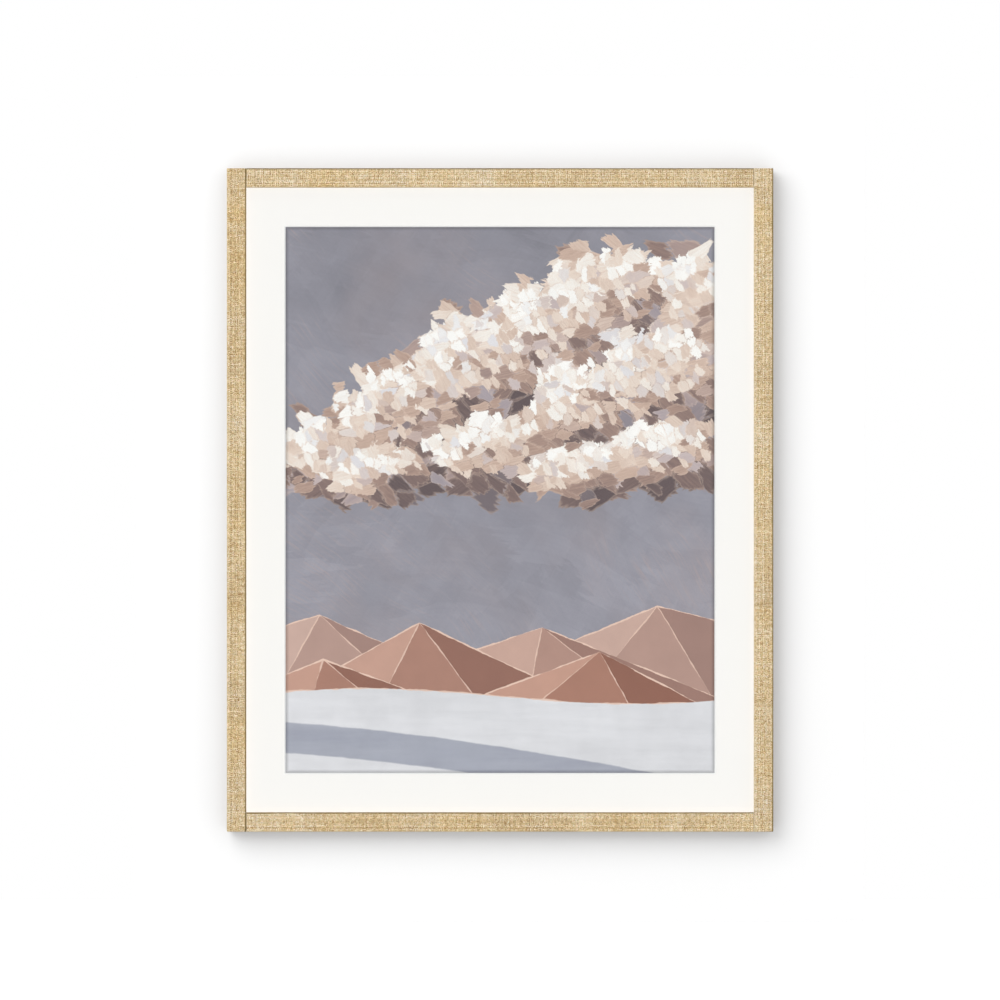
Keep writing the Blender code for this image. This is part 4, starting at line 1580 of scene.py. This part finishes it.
class FRAMEDPRINT_OT_print(bpy.types.Operator):
    """Paint the print"""

    bl_idname = "framedprint.print"
    bl_label = "Print"

    def execute(self, context):
        finish_nodes(("art_print",), print_material(context.scene.framed_print_paint))
        return {"FINISHED"}


class FRAMEDPRINT_OT_back(bpy.types.Operator):
    """Finish the backing board and paper the back"""

    bl_idname = "framedprint.back"
    bl_label = "Backing and dust cover"

    def execute(self, context):
        finish_nodes(("backing_board",), foam_material())
        paper = add_dust_cover(context.scene.framed_print_back)
        hand_over(paper, kraft_material(), "dust_cover")
        return {"FINISHED"}


class FRAMEDPRINT_OT_hardware(bpy.types.Operator):
    """Finish the points, hangers and nails"""

    bl_idname = "framedprint.hardware"
    bl_label = "Hangers, nails and points"

    def execute(self, context):
        settings = context.scene.framed_print_back
        wear = metal_wear_group()
        zinc = metal_material("zinc_plate", wear, (0.72, 0.73, 0.74, 1), (0.46, 0.47, 0.49, 1), 0.28)
        steel = metal_material("nail_steel", wear, (0.66, 0.66, 0.66, 1), (0.40, 0.40, 0.41, 1), 0.24)
        points = metal_material("point_steel", wear, (0.58, 0.58, 0.59, 1), (0.34, 0.34, 0.36, 1), 0.34)
        finish_nodes([name for name in cad if "_point_" in name], points)
        for side in ("left", "right"):
            node = side + "_hanger"
            hanger = eased_copy(node, node + "_plate", settings.ease)
            hand_over(hanger, zinc, node)
            for nail_side in ("left", "right"):
                nail_node = f"{node}_{nail_side}_nail"
                nail = eased_copy(nail_node, nail_node + "_domed", 2 * settings.ease)
                hand_over(nail, steel, nail_node)
        return {"FINISHED"}


class FRAMEDPRINT_OT_bumpers(bpy.types.Operator):
    """Add the felt bumpers"""

    bl_idname = "framedprint.bumpers"
    bl_label = "Bumpers"

    def execute(self, context):
        felt = felt_material()
        for side in ("left", "right"):
            node = side + "_bumper"
            low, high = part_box(node)
            middle = ((low.x + high.x) / 2, (low.z + high.z) / 2)
            radius = (high.x - low.x) / 2
            disc = add_disc(node + "_felt", middle, radius, low.y, high.y, 0.8 * MM)
            hand_over(disc, felt, node)
        return {"FINISHED"}


OPERATORS = (
    FRAMEDPRINT_OT_stage,
    FRAMEDPRINT_OT_linen,
    FRAMEDPRINT_OT_wood,
    FRAMEDPRINT_OT_glazing,
    FRAMEDPRINT_OT_mat,
    FRAMEDPRINT_OT_print,
    FRAMEDPRINT_OT_back,
    FRAMEDPRINT_OT_hardware,
    FRAMEDPRINT_OT_bumpers,
)
SETTINGS = {
    "framed_print_linen": LinenSettings,
    "framed_print_paint": PrintSettings,
    "framed_print_back": BackSettings,
    "framed_print_stage": StageSettings,
}


class FRAMEDPRINT_PT_panel(bpy.types.Panel):
    """Lists the pieces of the framed print and their settings"""

    bl_idname = "FRAMEDPRINT_PT_panel"
    bl_label = "Framed Print"
    bl_space_type = "VIEW_3D"
    bl_region_type = "UI"
    bl_category = "Framed Print"

    def draw(self, context):
        for name, group in SETTINGS.items():
            box = self.layout.box()
            for label in group.__annotations__:
                box.prop(getattr(context.scene, name), label)
        for operator in OPERATORS:
            self.layout.operator(operator.bl_idname)


def register():
    for group in (*SETTINGS.values(), *OPERATORS, FRAMEDPRINT_PT_panel):
        bpy.utils.register_class(group)
    for name, group in SETTINGS.items():
        setattr(bpy.types.Scene, name, bpy.props.PointerProperty(type=group))


def unregister():
    for name in SETTINGS:
        delattr(bpy.types.Scene, name)
    for group in reversed((*SETTINGS.values(), *OPERATORS, FRAMEDPRINT_PT_panel)):
        bpy.utils.unregister_class(group)


def main():
    register()
    bpy.ops.framedprint.stage()
    bpy.ops.framedprint.linen()
    bpy.ops.framedprint.wood()
    bpy.ops.framedprint.glazing()
    bpy.ops.framedprint.mat()
    bpy.ops.framedprint.print()
    bpy.ops.framedprint.back()
    bpy.ops.framedprint.hardware()
    bpy.ops.framedprint.bumpers()
    boxes = {"cad": cad_bounds, "visual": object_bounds()}
    {name: [list(corner) for corner in box] for name, box in boxes.items()}


if __name__ == "__main__":
    main()
